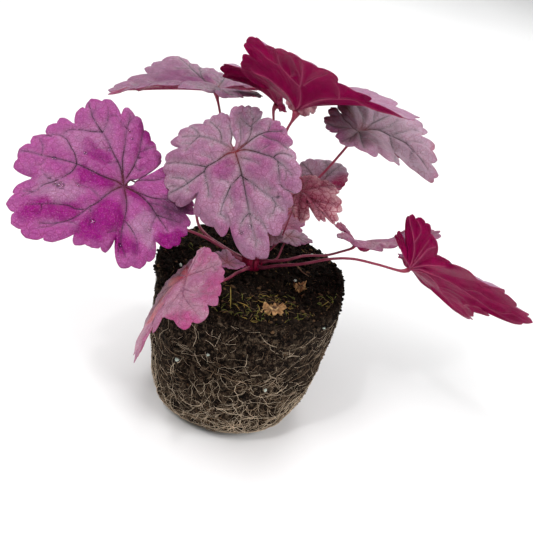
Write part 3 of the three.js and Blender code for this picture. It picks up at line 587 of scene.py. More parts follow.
# %% Vein lines
VEINS = {
    "leaf_01": [
        (1, ((0, 0), (10.1, -3.4), (18, -4), (25.4, -4.8), (30.7, -4.7))),
        (0.75, ((30.7, -4.7), (36.2, -4.6), (41.9, -5), (44.6, -6.1), (48.7, -6.9))),
        (0.6, ((30.7, -4.7), (32.8, -8), (36.9, -11.6), (41.4, -14.6))),
        (0.65, ((30.7, -4.7), (33.3, -1.1), (36.5, 2.9), (39.6, 8.7), (39.1, 12.4))),
        (0.35, ((41.9, -5), (43.6, -8.1), (44.2, -9.9))),
        (0.35, ((36.9, -11.6), (36.7, -15.2), (34.6, -16.4))),
        (0.9, ((0, 0), (12.8, -6.4), (19.4, -11.7), (26.9, -17.2), (30.6, -20.8), (33.4, -22.8))),
        (0.45, ((26.9, -17.2), (30.1, -16.9), (33.6, -16))),
        (0.4, ((29.5, -19.8), (31.4, -23.8), (31.5, -25.6))),
        (0.85, ((3.2, -3.3), (7.1, -9.9), (13.1, -16.8), (19.2, -21.9), (23.3, -25.5))),
        (0.4, ((12.8, -16.6), (12.6, -22.3), (12.3, -25.5))),
        (0.35, ((7.3, -10.5), (4, -11.4), (3.6, -13.2))),
        (1, ((0, 0), (3.8, 2), (9, 7), (15.1, 11.3), (20.9, 15.7), (25.1, 20), (29, 24.4),
             (32.7, 28.9), (37.6, 33.7), (40, 37.5))),
        (0.7, ((20.9, 15.7), (25.8, 13.6), (30, 13.4), (36.5, 13.4), (40.2, 16.1), (42.1, 21.1))),
        (0.75, ((20.5, 16), (18.1, 20.2), (17.3, 24.4), (17, 31.2), (17.5, 36.6), (15.9, 41.9),
                (18.6, 46.9))),
        (0.4, ((31.4, 27.3), (28.5, 30.7), (28.5, 33.6))),
        (0.45, ((32.7, 28.9), (37.1, 25.6), (42.3, 24.7))),
        (0.35, ((17, 31.8), (21.1, 33), (26.6, 33.3))),
        (0.3, ((15.9, 41.9), (16.2, 45.6), (16.3, 48.7))),
        (1, ((0, 0), (0.4, 4.2), (-0.9, 11.2), (-3.1, 18.5), (-3.4, 22.7), (-5.2, 29.5), (-5.8, 36.5),
             (-4.8, 41.4), (-0.3, 49.5))),
        (0.75, ((-3.5, 26.5), (-1.8, 29.2), (1.8, 31.7), (5.6, 36.9), (8.4, 42.7), (10.9, 48.7))),
        (0.45, ((-1.9, 15.2), (3.3, 15.9), (7.7, 18.5), (11.2, 21.4))),
        (0.45, ((-3.8, 22.8), (-9, 25.9), (-14.6, 31))),
        (0.35, ((-4.8, 41.4), (-4.6, 45.7), (-3, 50.1))), (0.4, ((8.4, 42.7), (5.7, 44.7), (4.5, 47.6))),
        (0.4, ((-5.8, 36.5), (-10.9, 35.1), (-14.8, 36.7))),
        (0.95, ((0, 0), (-5.7, 2.4), (-10.9, 5.2), (-17, 10.5), (-22.2, 15.4), (-27.5, 19),
                (-34.5, 20.7))),
        (0.6, ((-18, 10.5), (-23.4, 9.7), (-28.2, 10.2), (-32.3, 12), (-36.1, 14.8))),
        (0.4, ((-22.3, 15.1), (-20.9, 18.7), (-20.8, 24))),
        (0.35, ((-27.5, 19), (-30.3, 22.2), (-33.3, 24.1))),
        (1, ((0, 0), (-7.2, -4.3), (-14, -6.2), (-21.5, -6.5), (-27.9, -6.8), (-32, -6.8))),
        (0.8, ((0, 0), (-8.8, -6.4), (-12.7, -10), (-15.9, -15.3), (-19.9, -21.1), (-24, -24.8))),
        (0.5, ((-21.5, -6.5), (-24.7, -2.1), (-28.1, 1.6))),
        (0.5, ((-21.5, -6.5), (-27, -11.4), (-31.2, -16))),
        (0.4, ((-15.9, -15.2), (-21.3, -17), (-26.4, -19.1))),
        (0.35, ((-14, -6.2), (-17.1, -10.4), (-21, -14.2))),
        (0.7, ((0, 0), (-0.3, -7.8), (-3.6, -14.4), (-5.4, -19.6))),
        (0.4, ((-0.4, -7.3), (0.1, -12.4), (0.8, -17.6))), (0.3, ((-19.9, -21.1), (-21.2, -25.5))),
        (0.3, ((21.6, -4), (22.8, -0.9), (25.1, 3.5))), (0.3, ((13.3, -3.3), (14.4, 0.9), (19.9, 3.5))),
        (0.3, ((15.1, 11.3), (9.8, 11.4))),
    ],
    "leaf_02": [
        (1, ((-0.5, 1.1), (-2, 7.1), (-3, 13.9), (-3.4, 19.1), (-3.8, 26.4), (-3.9, 32.9),
             (-3.9, 38.9), (-4, 43.5), (-3.9, 49.9))),
        (0.6, ((-3.6, 33.1), (-0.4, 35), (2.2, 38.2), (3.6, 40.6))),
        (0.6, ((-3.9, 32.9), (-7, 36.3), (-10, 38.7), (-11.2, 41.6))),
        (0.3, ((-4, 43.5), (-1.2, 45.9))),
        (0.3, ((-4, 45.8), (-6.7, 48.7))),
        (0.85, ((-2.3, 13.4), (3.2, 17.3), (6.8, 22.2), (9.6, 26.4), (11.8, 31))),
        (0.35, ((3.3, 17.4), (5.3, 15.3), (8.6, 13.9))), (0.3, ((11.8, 30.7), (9.3, 33.1), (7.8, 36))),
        (0.35, ((6.3, 21.5), (4.4, 24.9), (5.3, 27.9))),
        (0.85, ((-2.6, 13.9), (-8.7, 19.2), (-13.8, 24.4), (-17.4, 27.8), (-19.2, 31.4), (-22.3, 34.9))),
        (0.4, ((-17.6, 27.6), (-22.6, 28.1))), (0.4, ((-19, 31.4), (-16.3, 35.2), (-13.8, 36.6))),
        (0.3, ((-8.7, 19.2), (-8.9, 22.6))), (0.35, ((-13, 23.8), (-16.6, 23.1), (-20.9, 24.3))),
        (1, ((-0.5, 1.1), (3.9, 1.2), (8.3, 3.3), (11.8, 4.6), (15.7, 5.9), (17.3, 7.9), (22, 9.9),
             (27.7, 12.4), (33.5, 14), (39.5, 15.3))),
        (0.7, ((15.7, 5.9), (23, 3.2), (30.8, 0.8), (38, -0.4))),
        (0.65, ((17, 8), (16.9, 11.7), (16.2, 15.7), (16.4, 20.4))),
        (0.5, ((27.3, 12.2), (29.1, 9.7), (37, 7.3))), (0.35, ((27.6, 12.4), (27.8, 15.9))),
        (0.4, ((10, 4), (7.4, 2.6), (4.8, 2.8))), (0.35, ((10.8, 4.1), (14, 0.9), (17.3, -0.5))),
        (0.3, ((33.5, 14), (35, 12.1), (38.8, 11.7))),
        (0.9, ((-0.5, 1.1), (3.5, -2.8), (9.2, -6.8), (14.2, -9.5), (18.4, -11), (27.9, -12.7))),
        (0.5, ((18.2, -11), (19.7, -14), (22.8, -16.9))),
        (0.5, ((18.9, -10.8), (22.8, -8.1), (26.1, -5.1))),
        (0.6, ((6.8, -5.3), (6.7, -10.3), (9, -14.2), (12.3, -17.9))),
        (0.3, ((8.7, -13.9), (7.3, -15.5))),
        (0.35, ((10.8, -7.4), (11.6, -4.8))), (0.3, ((22.8, -8.1), (24.9, -8.2), (28, -9.2))),
        (0.9, ((-1.3, 0.7), (-5.1, -0.5), (-8.9, -2.2), (-12.1, -3.6), (-16.2, -4.7), (-20.5, -4.6),
               (-28.3, -3))),
        (0.5, ((-20, -4.5), (-21, -7.1), (-21.8, -9.4))),
        (0.45, ((-16.1, -4.3), (-21, -0.7), (-25, 1.5), (-30, 6.6))),
        (0.7, ((-3.8, -0.8), (-8, -2.6), (-10.5, -6.5), (-11.4, -9.1), (-12.5, -13.7))),
        (0.5, ((-11.3, -10.3), (-14.1, -11.7), (-16.8, -13.1))),
        (0.4, ((-10.8, -9.6), (-7.9, -12.4), (-5.3, -15.5))), (0.3, ((-12.4, -14.6), (-11.4, -17.3))),
        (0.45, ((-2.8, -0.6), (-4.5, -4.3), (-4.7, -9.2), (-4.7, -13.6))),
        (1, ((-0.5, 1.1), (-5.9, 1.3), (-12, 3.7), (-17, 6.4), (-21.9, 9.2), (-24.3, 11.7),
             (-27.9, 15.6), (-30.7, 19.9))),
        (0.65, ((-21.9, 9.2), (-24.5, 7.9), (-28.6, 8.7), (-31.8, 11))),
        (0.65, ((-24.2, 11.8), (-24.2, 17.1), (-23.7, 22.5), (-26.1, 25.6), (-29.9, 27.9))),
        (0.35, ((-13.7, 4.5), (-17.3, 3.3), (-20.3, 2.2))),
        (0.5, ((-3.3, 4.5), (-9, 7.4), (-14, 10.3))),
        (0.3, ((-27.9, 15.6), (-27.9, 18.6), (-27, 21.5))),
        (0.5, ((0.5, -0.3), (0.3, -7), (1.2, -13.4))),
        (0.3, ((-2, 7.1), (1.6, 8), (4.4, 7.5))), (0.3, ((-3.6, 23.2), (-1.1, 25.1))),
    ],
    "leaf_06": [
        (1, ((1.9, 0.6), (-3.3, 4.6), (-6.5, 9.5), (-6.7, 15.3), (-7.3, 21.2), (-7.8, 25.4), (-6.5, 30.8),
             (-4.9, 36.6), (-2.4, 42.3))),
        (0.7, ((-6.7, 16.2), (-2.9, 18.2), (0.9, 20.5), (12.2, 23), (26.6, 24))),
        (0.35, ((11.7, 22.9), (6.3, 25.9))), (0.55, ((-6.2, 30.6), (-2.6, 30.8), (2.1, 31.7))),
        (0.3, ((-6.2, 31), (-8.2, 33.8), (-8.7, 36.9))),
        (0.5, ((-7.8, 25.4), (-12.2, 29), (-14.7, 33.8))),
        (0.9, ((0.4, 1.1), (-3.4, 3.4), (-9.8, 5.1), (-14.7, 7.4), (-19.8, 9.7), (-25.1, 13.2))),
        (0.4, ((-12.3, 5.7), (-15.6, 4.5), (-19.4, 3.7))),
        (0.6, ((-6.5, 9.5), (-12.8, 13.8), (-19.2, 15.8), (-22.8, 17.3))),
        (0.6, ((-8.3, 17.2), (-15.1, 22.6), (-19.9, 25.8), (-21.6, 29.7))),
        (0.45, ((-1.8, 0.9), (-8, 0.2), (-12.8, -1.9), (-19.9, -7.5))),
        (0.7, ((4.4, 0.5), (2.4, -5.5), (3.4, -10.2), (-2.3, -15.5))),
        (0.6, ((4.4, 0.5), (6.9, -5), (13.8, -10.5), (15.4, -15.4))),
        (0.4, ((13.8, -10.5), (14.1, -13.4))),
        (0.6, ((3.9, 0.7), (19.9, -1), (27.5, -4))),
        (0.8, ((5.5, 1), (19.2, 3.9), (26, 5.9), (31.7, 7.8))),
        (0.5, ((19.4, 3.7), (16.7, 7.4), (19.6, 11.7))), (0.4, ((19.9, -1), (26, -0.8))),
    ],
    "leaf_05": [
        (1, ((-0.1, -1.2), (4.9, 1.8), (11.8, 3.2), (19.5, 3.6))),
        (0.8, ((19.5, 3.6), (26, 5.6), (35.6, 8.1), (47, 10.7))),
        (0.7, ((19.5, 3.6), (23.7, -1.9), (29.3, -6.5), (39.9, -5.7))),
        (0.4, ((24.9, 5.4), (33.2, 4.7), (40.4, 4.5))),
        (0.8, ((0, 0), (6.8, -5.4), (9.6, -11.1), (12.3, -19.3), (12.5, -26.8))),
        (1, ((-0.0, -0.4), (6.8, 6), (14.4, 15.7), (18.3, 25), (21.1, 34.1), (15.2, 44.6),
             (21.2, 60.1))),
        (0.5, ((21.8, 6.2), (30.1, 12.2), (39.9, 20.2), (46.3, 24.6))),
        (0.5, ((29.3, -6.5), (27.2, -14), (32.4, -23.6))), (0.4, ((23.7, -1.9), (28.5, 2.4))),
        (0.45, ((18.1, 24.3), (30.9, 26.4), (36.5, 25.8))),
    ],
    "leaf_13": [
        (1, ((1.9, 0.9), (12.9, 10.1), (12.5, 18.9), (10.8, 28.5), (4.7, 37.6), (-1.9, 48),
             (-4.5, 59.5), (-0.1, 69.6))),
        (0.6, ((11.4, 34.2), (16.7, 40.1), (13.6, 47.5), (14.4, 53.6), (19.3, 59.5))),
        (0.45, ((-1.9, 48), (-0.9, 55), (5.5, 60.1), (3.1, 67.3))),
        (0.9, ((1.9, 0.9), (8.6, 8.4), (2.1, 15.9), (-21, 22), (-31.7, 29.2), (-32.2, 34.3))),
        (0.45, ((-15.7, 32), (-10.4, 35.2), (-9.2, 38.3))),
        (0.95, ((3.5, 0.9), (12.7, -0.1), (22.8, -3.9), (29.4, -9.8), (35.7, -15.4))),
        (0.6, ((11.5, 1.8), (25.1, 3.2), (37.4, 4.9))),
        (0.9, ((4.2, 1.3), (19.5, 4.6), (32.5, 7.5), (40.8, 11.4))),
        (0.5, ((22.8, -3.9), (35.5, -3.5), (39, -7.4))), (0.7, ((3.8, 1.5), (18.9, 9.9), (34.6, 21.3))),
        (0.5, ((3.5, 0.9), (5.3, -4.3), (7, -9.8), (5.4, -12.7))),
    ],
}


def grown_veins(leaf):
    """Main veins to the strong lobes, forks to the weak ones, and slanting side veins, as (width, points)."""
    draw = np.random.default_rng(int(leaf.name[-2:]))
    order = np.argsort(-leaf.reaches)
    mains = []
    for k in order:
        if all(abs(leaf.tips[k] - leaf.tips[j]) > 34 for j in mains):
            mains.append(k)
    lines = []
    for k in range(len(leaf.tips)):
        end = leaf.tips[k]
        size = leaf.length * reach(leaf, np.array([end]))[0] * 0.94
        parent = min(mains, key=lambda j: abs(leaf.tips[j] - end))
        start = leaf.tips[parent]
        fork = 0.0 if k in mains else 0.36
        s = np.linspace(fork, 1, 9)
        turn = end + 3 * np.sin(3 * s + k)
        if fork:
            turn = start + (end - start) * ((s - fork) / (1 - fork)) ** 0.8
        lines.append((1.0 if k in mains else 0.7, size * s, np.radians(turn)))
    veins = [(w, np.stack([r * np.sin(a), r * np.cos(a)], 1)) for w, r, a in lines]
    for width, line in list(veins):
        total = np.linalg.norm(line[-1] - line[0])
        for i, s in enumerate(np.arange(0.3, 0.9, 0.14) + draw.uniform(-0.03, 0.03, 5)):
            at = line[0] + (line[-1] - line[0]) * s
            slant = math.radians(42 + draw.uniform(-8, 8)) * (1 if i % 2 else -1)
            way = math.atan2(*(line[-1] - line[0])) + slant
            long = total * (0.30 - 0.14 * s) * draw.uniform(0.8, 1.15)
            u = np.linspace(0, 1, 5)[:, None]
            bow = np.array([math.sin(way), math.cos(way)]) * long
            side = np.array([bow[1], -bow[0]]) * (0.12 if i % 2 else -0.12)
            veins.append((0.42 * width, at + bow * u - side * u * (1 - u) * 2))
    return veins


# Points worked on at once, so that the arrays stay small.
BATCH = 3000


def vein_field(flat, veins):
    """For each point of the flat leaf: the strongest vein's darkness and the distance to the nearest vein."""
    starts, ends, widths = [], [], []
    for width, line in veins:
        line = np.asarray(line, float)
        dense = line
        if len(line) > 2:
            dense = smooth_path(np.c_[line, np.zeros(len(line))], 4 * (len(line) - 1))[:, :2]
        taper = width * (1 - 0.62 * np.linspace(0, 1, len(dense)))
        starts.append(dense[:-1])
        ends.append(dense[1:])
        widths.append(taper[1:])
    a, b, w = np.concatenate(starts), np.concatenate(ends), np.concatenate(widths)
    way = b - a
    dark = np.zeros(len(flat))
    near = np.full(len(flat), 99.0)
    for first in range(0, len(flat), BATCH):
        p = flat[first:first + BATCH]
        s = np.einsum("psk,sk->ps", p[:, None] - a, way) / (way**2).sum(1)
        gap = np.linalg.norm(p[:, None] - a - np.clip(s, 0, 1)[..., None] * way, axis=2)
        half = 0.45 + 0.45 * w
        dark[first:first + BATCH] = (np.exp(-((gap / half) ** 2)) * np.clip(0.3 + 0.7 * w, 0, 1)).max(1)
        near[first:first + BATCH] = (gap + 0.8 * (1 - w)).min(1)
    return dark, near


print("leaves with veins of their own:", len(VEINS), "of", len(LEAVES))

# %% [markdown]
# ## Leaf colour
# The colour of a blade changes with place: magenta where the silver bloom has gone, dusky lilac
# elsewhere, grey along the veins and wine red near the stalk. The underside is crimson with pale ribs,
# whose paler colour also serves as a painted highlight along the veins.
# One table names these colours for each kind of leaf. A second one lists soft stains as (x, y, width,
# strength, colour), with x and y in millimetres on the flattened leaf; a few of its rows are painted light
# and painted shade instead, noted at their leaves. Four leaves have faded above, so
# BLEACHED names the kind that lends them its upper colours; their undersides keep their own.

# %% Leaf colours
# In each kind, rib is the paler colour of the ribs below, and partly a painted highlight along them.
KINDS = {
    "magenta": {"base": (153, 71, 133), "deep": (131, 0, 107), "bloom": (158, 114, 146), "vein": (30, 8, 24),
                "heart": (84, 14, 38), "under": (156, 0, 90), "rib": (188, 92, 128)},
    "lilac": {"base": (157, 113, 141), "deep": (138, 48, 112), "bloom": (172, 150, 162), "vein": (26, 16, 22),
              "heart": (122, 36, 44), "under": (148, 0, 74), "rib": (186, 96, 126)},
    "pink": {"base": (160, 97, 131), "deep": (158, 50, 112), "bloom": (182, 144, 158), "vein": (126, 68, 98),
             "heart": (160, 10, 50), "under": (176, 100, 128), "rib": (196, 128, 148)},
    "rose": {"base": (200, 160, 164), "deep": (122, 8, 58), "bloom": (132, 22, 68), "vein": (84, 2, 34),
             "heart": (104, 14, 42), "under": (158, 0, 80), "rib": (180, 76, 114)},
}
RUST = tint(192, 112, 116)
KINDS = {kind: {part: tint(*screen) for part, screen in parts.items()} for kind, parts in KINDS.items()}
BLEACHED = {"leaf_12": "pink", "leaf_04": "lilac", "leaf_05": "lilac", "leaf_13": "lilac"}
STAINS_AND_PAINTED_LIGHT = {
    "leaf_01": [(13, 35, 9, 0.8, "bloom"), (8, 25, 6, 0.6, "bloom"), (-24, 4, 6, 0.8, "bloom"),
                (-31, 4, 5, 0.8, "bloom"), (-20, -3, 5, 0.5, "bloom"), (30, -2, 10, 0.5, "bloom"),
                (34, 12, 9, 0.4, "bloom"), (14, 15.5, 5.4, 1, "deep"), (8, 10, 5.2, 1, "deep"),
                (4, 7, 3.6, 0.9, "deep"), (-10, 17, 7.5, 1, "deep"), (-14, 24, 7.5, 1, "deep"),
                (-16, 31, 7, 1, "deep"), (-17, 13, 4.5, 1, "deep"), (7, 50, 7, 0.95, "deep"),
                (5, 41, 6, 0.9, "deep"), (-1, 34, 6, 0.95, "deep"), (17, 1, 3.6, 0.75, "deep"),
                (22, 4, 4, 0.8, "deep"), (27, 6, 3.4, 0.5, "deep"), (18, -26, 5, 0.7, "deep"),
                (23, -25, 5, 0.6, "deep"), (14, -17, 4, 0.5, "deep"), (-27, 19, 6.5, 1, "deep"),
                (-37, -3, 5.5, 1, "deep"), (-39, -10, 5.5, 0.95, "deep"), (-34, 14, 4, 0.8, "deep"),
                (-9, -3, 4, 0.85, "deep"), (-5, -2, 3, 0.8, "deep"), (-15, -5, 4, 0.6, "deep"),
                (-19, -10, 6, 0.45, "vein"), (-26, -15, 7, 0.5, "vein"), (-21, -20, 7, 0.5, "vein")],
    "leaf_02": [(6, 8, 6, 0.7, "deep"), (-2, 20, 7, 0.5, "deep"), (-16, 9, 9, 0.5, "deep"),
                (-27, 23, 7, 0.45, "deep"), (-24, -2, 8, 0.75, "deep"), (8, 41, 6, 0.35, "deep"),
                (18, 6, 6, 0.35, "deep"), (-12, -16, 9, 0.42, "vein")],
    # leaf_03's broad last stain in the vein colour is painted shade: it darkens the middle of the blade like
    # the shade in its central valley.
    "leaf_03": [(9, 11, 9, 0.75, "deep"), (12, 27, 10, 0.5, "deep"), (-2, -24, 7, 0.9, "heart"),
                (-10, 54, 7, 0.8, "under"), (-4, 14, 42, 0.36, "vein")],
    # leaf_06's broad last stain in the bloom colour is painted light: it lightens the blade where the leaf
    # above shades it.
    "leaf_06": [(-18, 42, 5, 0.95, "under"), (3, 50, 5.5, 1, "under"), (-6, -10, 4.5, 1, "heart"),
                (24, -9, 7, 0.7, "deep"), (-5, 30, 8, 0.35, "deep"), (0, 18, 34, 0.65, "bloom")],
    "leaf_07": [(-11, -4, 7, 0.4, "deep"), (-8, -10, 9, 0.6, "bloom"), (-16, 4, 8, 0.6, "bloom"),
                (1, 17, 9, 1, "under")],
    "leaf_08": [(9, 4, 6, 0.7, "deep"), (-8, 1, 7, 0.75, "deep"), (-12, 12, 5, 0.6, "deep"),
                (0, 5, 9, 0.6, "bloom")],
    "leaf_12": [(-5, -14, 7, 1, "under"), (-17, -7, 7, 0.9, "under"), (-27, 34, 9, 0.75, "under"),
                (-9, 42, 9, 0.6, "under"), (17, 37, 7, 0.4, "deep")],
    # leaf_14's three bloom stains are painted light: they lighten its folded far half, which faces away from
    # the lamps.
    "leaf_14": [(7, -1, 6, 1, "heart"), (-31, 4, 8, 0.6, "deep"), (-29, 31, 9, 0.8, "deep"),
                (-10, -10, 6, 0.45, "deep"), (12, 8, 8, 0.95, "rust"), (12, 22, 9, 0.85, "rust"),
                (24, 12, 9, 0.9, "bloom"), (22, 26, 9, 0.9, "bloom"), (12, 38, 9, 0.8, "bloom")],
    "leaf_15": [(0, 6, 14, 0.6, "deep")],
}
PLAIN_STAINS = [(8, 14, 8, 0.4, "deep"), (-12, 6, 7, 0.35, "deep")]
# A higher power gives every stain and every patch of painted light and shade a crisper edge.
STAIN_AND_LIGHT_EDGE = 2.6


def blade_paint(leaf, flat, space, share, dark, near, upper):
    """The paint of each point: the base, bloom by the veins, stains and painted light and shade, the heart,
    the veins' shadow.
    """
    c = KINDS[BLEACHED.get(leaf.name, leaf.kind) if upper else leaf.kind]
    count = len(flat)
    slow, fine = rough(space, 13, 3, 3), rough(space, 2.4, 2, 9)
    if not upper:
        clouds = np.clip(0.45 + 0.7 * slow, 0, 1) * 0.7
        colour = mix(np.tile(c["under"], (count, 1)), c["under"] * 0.45, clouds)
        # Below: pale rib colour, faint towards the edge and strong along the veins. It is the ribs' own paler
        # colour and also a painted highlight along them, in place of the gloss that the low specular leaves
        # out.
        colour = mix(colour, c["rib"], np.clip(0.1 * fine, 0, 1) * smoothstep(share, 0.2, 1))
        return mix(colour, c["rib"], np.clip(dark * 0.6, 0, 1))
    colour = mix(np.tile(c["base"], (count, 1)), c["deep"], np.clip(0.1 + 0.35 * slow, 0, 0.6))
    veiled = 0.3 if leaf.kind == "magenta" else 0.75
    colour = mix(colour, c["bloom"], np.clip(veiled * np.exp(-((near / 2.4) ** 2)) + 0.25 * fine, 0, 1))
    warp = np.stack([rough(space, 6, 3, 15), rough(space, 6, 3, 19)], 1) * 3.2
    # Stains, and the few rows of painted light and painted shade, each mixed in through a soft spot.
    for x, y, wide, strong, part in STAINS_AND_PAINTED_LIGHT.get(leaf.name, PLAIN_STAINS):
        spot = np.exp(-((((flat + warp - [x, y]) ** 2).sum(1) / wide**2) ** STAIN_AND_LIGHT_EDGE))
        kept = 1 - 0.6 * veiled * (part != "heart") * np.exp(-((near / 0.9) ** 2))
        stain_and_light = RUST if part == "rust" else c[part]
        colour = mix(colour, stain_and_light, np.clip(strong * spot * (1 + 0.35 * fine), 0, 1) * kept)
    heart = np.exp(-((share * leaf.length / 8) ** 2))
    colour = mix(colour, c["heart"], 0.45 * heart)
    shadow = mix(np.tile(c["vein"], (count, 1)), c["heart"], 0.8 * heart)
    return mix(colour, shadow, np.clip(dark * 0.72, 0, 1))


print("stains:", sum(len(row) for row in STAINS_AND_PAINTED_LIGHT.values()))

# %% [markdown]
# A blade is a thin closed shell: an upper face, a lower face and a rim between them. The upper face
# puffs up between the veins and sinks along them. The veins themselves are slim cords that lie in these
# valleys, flat above and round below, so they stay crisp however coarse the grid of the blade is.

# %% Blade shell
# Millimetres: half the thickness, and how far each effect moves the skin.
SKIN = {"half": 0.26, "puff": 1.7, "wave": 0.55, "crease": 0.35, "valley": 0.2, "rib": 0.15}
# How much more the net of fine veins shows above than below, where it isn't the usual 0.25.
NET = {"leaf_08": 0.65}


def skins(leaf, angle, t, share, dark, near):
    """Two skins: middle + n (puff + wave + crease), half a thickness up or down, less the vein's share."""
    normal, middle = blade_normal(leaf, angle, t), blade_flat(leaf, angle, t)
    big = min(1.0, leaf.length / 45)
    puff = SKIN["puff"] * big * (1 - np.exp(-((near / 3.0) ** 2))) * smoothstep(1 - share, 0, 0.16)
    turn = np.radians(angle)
    swell, ripple = np.sin(turn * 13 + leaf.length), np.sin(turn * 29 + 3 * np.sin(3 * turn))
    wave = SKIN["wave"] * big * share**5 * swell * smoothstep(np.abs(angle), 178, 150)
    crease = SKIN["crease"] * big * share**2 * ripple * smoothstep(1 - share, 0, 0.3)
    half = SKIN["half"] - 0.1 * smoothstep(share, 0.94, 1)
    over = middle + normal * (half + puff + wave + crease - SKIN["valley"] * big * dark)[:, None]
    under = middle + normal * (-half + puff * 0.8 + wave + crease - SKIN["rib"] * big * dark)[:, None]
    return over, under, normal


def vein_cords(leaf, veins, upper):
    """A cord for each vein: flat above and round below, it thins to about half and ends in a point."""
    c = KINDS[BLEACHED.get(leaf.name, leaf.kind) if upper else leaf.kind]
    shapes = []
    for width, line in veins:
        line = np.asarray(line, float)
        long = np.linalg.norm(np.diff(line, axis=0), axis=1).sum()
        flat = smooth_path(np.c_[line, np.zeros(len(line))], max(3, int(long / 1.25)))[:, :2]
        angle, t = polar(leaf, flat)
        edge = reach(leaf, angle)
        inside = (t < edge * 0.985) & (t * leaf.length > 0.5)
        if inside.sum() < 3:
            continue
        first = np.argmax(inside)
        stop = first + np.argmin(np.append(inside[first:], False))
        if stop - first < 3:
            continue
        flat, angle, t, edge = flat[first:stop], angle[first:stop], t[first:stop], edge[first:stop]
        dark, near = vein_field(flat, veins)
        over, under, normal = skins(leaf, angle, t, t / edge, dark, near)
        path = blade_place(leaf, over if upper else under)
        face = blade_way(leaf, normal) * (1 if upper else -1)
        way = unit(np.gradient(path, axis=0))
        across = unit(np.cross(face, way))
        s = np.linspace(0, 1, len(path))
        size = leaf.length / 55
        wide = (0.17 + (0.46 if upper else 0.36) * width * (1 - 0.72 * s)) * min(1.1, 0.45 + 0.6 * size)
        rise = 0.3 if upper else 0.9
        ring = [across * wide[:, None] - face * 0.08, face * (wide * rise)[:, None] + face * 0.03,
                -across * wide[:, None] - face * 0.08, -face * 0.3]
        rings = path[:, None] + np.stack(ring, 1)
        points, quads, tris = close_rings(rings, path[0] - way[0] * 0.3, path[-1] + way[-1] * 0.5)
        heart = np.exp(-((t * leaf.length / 9) ** 2)) if leaf.kind != "pink" else np.zeros(len(t))
        skin = blade_paint(leaf, flat, path, t / edge, dark, near, upper)
        # Below, the cords take the same pale rib colour, which is partly a painted highlight along the veins.
        line_colour = np.tile(c["vein" if upper else "rib"], (len(t), 1))
        if upper:
            line_colour = mix(line_colour, c["heart"], 0.9 * heart)
        faint = np.clip(0.35 + 0.9 * width, 0, 1) * (1 - 0.4 * s)
        paint = mix(skin, line_colour, faint if upper else faint * 0.8)
        paint = np.concatenate([np.repeat(paint, 4, 0), paint[:1], paint[-1:]])
        map_uv = np.concatenate([np.repeat(flat, 4, 0), flat[:1], flat[-1:]])
        shapes.append((points, quads, tris, {"paint": paint, "flat": map_uv}))
    return join_shapes(shapes)


def blade_shell(leaf):
    """Both faces of a blade on one disc grid, with its cords."""
    n = 2 * max(14, round(0.92 * leaf.length))
    angle, share, quads, loop = disc_grid(n)
    t = reach(leaf, angle) * share
    flat = leaf.length * t[:, None] * np.stack([np.sin(np.radians(angle)), np.cos(np.radians(angle))], 1)
    veins = VEINS.get(leaf.name) or grown_veins(leaf)
    dark, near = vein_field(flat, veins)
    over, under, _ = skins(leaf, angle, t, share, dark, near)
    count = len(angle)
    points = blade_place(leaf, np.concatenate([over, under]))
    paint = np.concatenate([blade_paint(leaf, flat, points[:count], share, dark, near, True),
                            blade_paint(leaf, flat, points[:count], share, dark, near, False)])
    fields = {"paint": paint, "flat": np.tile(flat, (2, 1))}
    shapes = [(points, two_skins(quads, loop, count), NO_TRIS, fields),
              vein_cords(leaf, veins, True), vein_cords(leaf, veins, False)]
    points, quads, tris, fields = join_shapes(shapes)
    upper = np.repeat([1.0, 0.0, 1.0, 0.0], [count, count, len(shapes[1][0]), len(shapes[2][0])])
    return make_mesh(leaf.name, points, quads, tris, uv=fields["flat"] / 120 + 0.5, paint=fields["paint"],
                     fields={"upper": upper, "net": 0.35 + upper * NET.get(leaf.name, 0.25)})


print("thickest blade skin:", 2 * SKIN["half"], "mm, puffed by up to", SKIN["puff"], "mm")

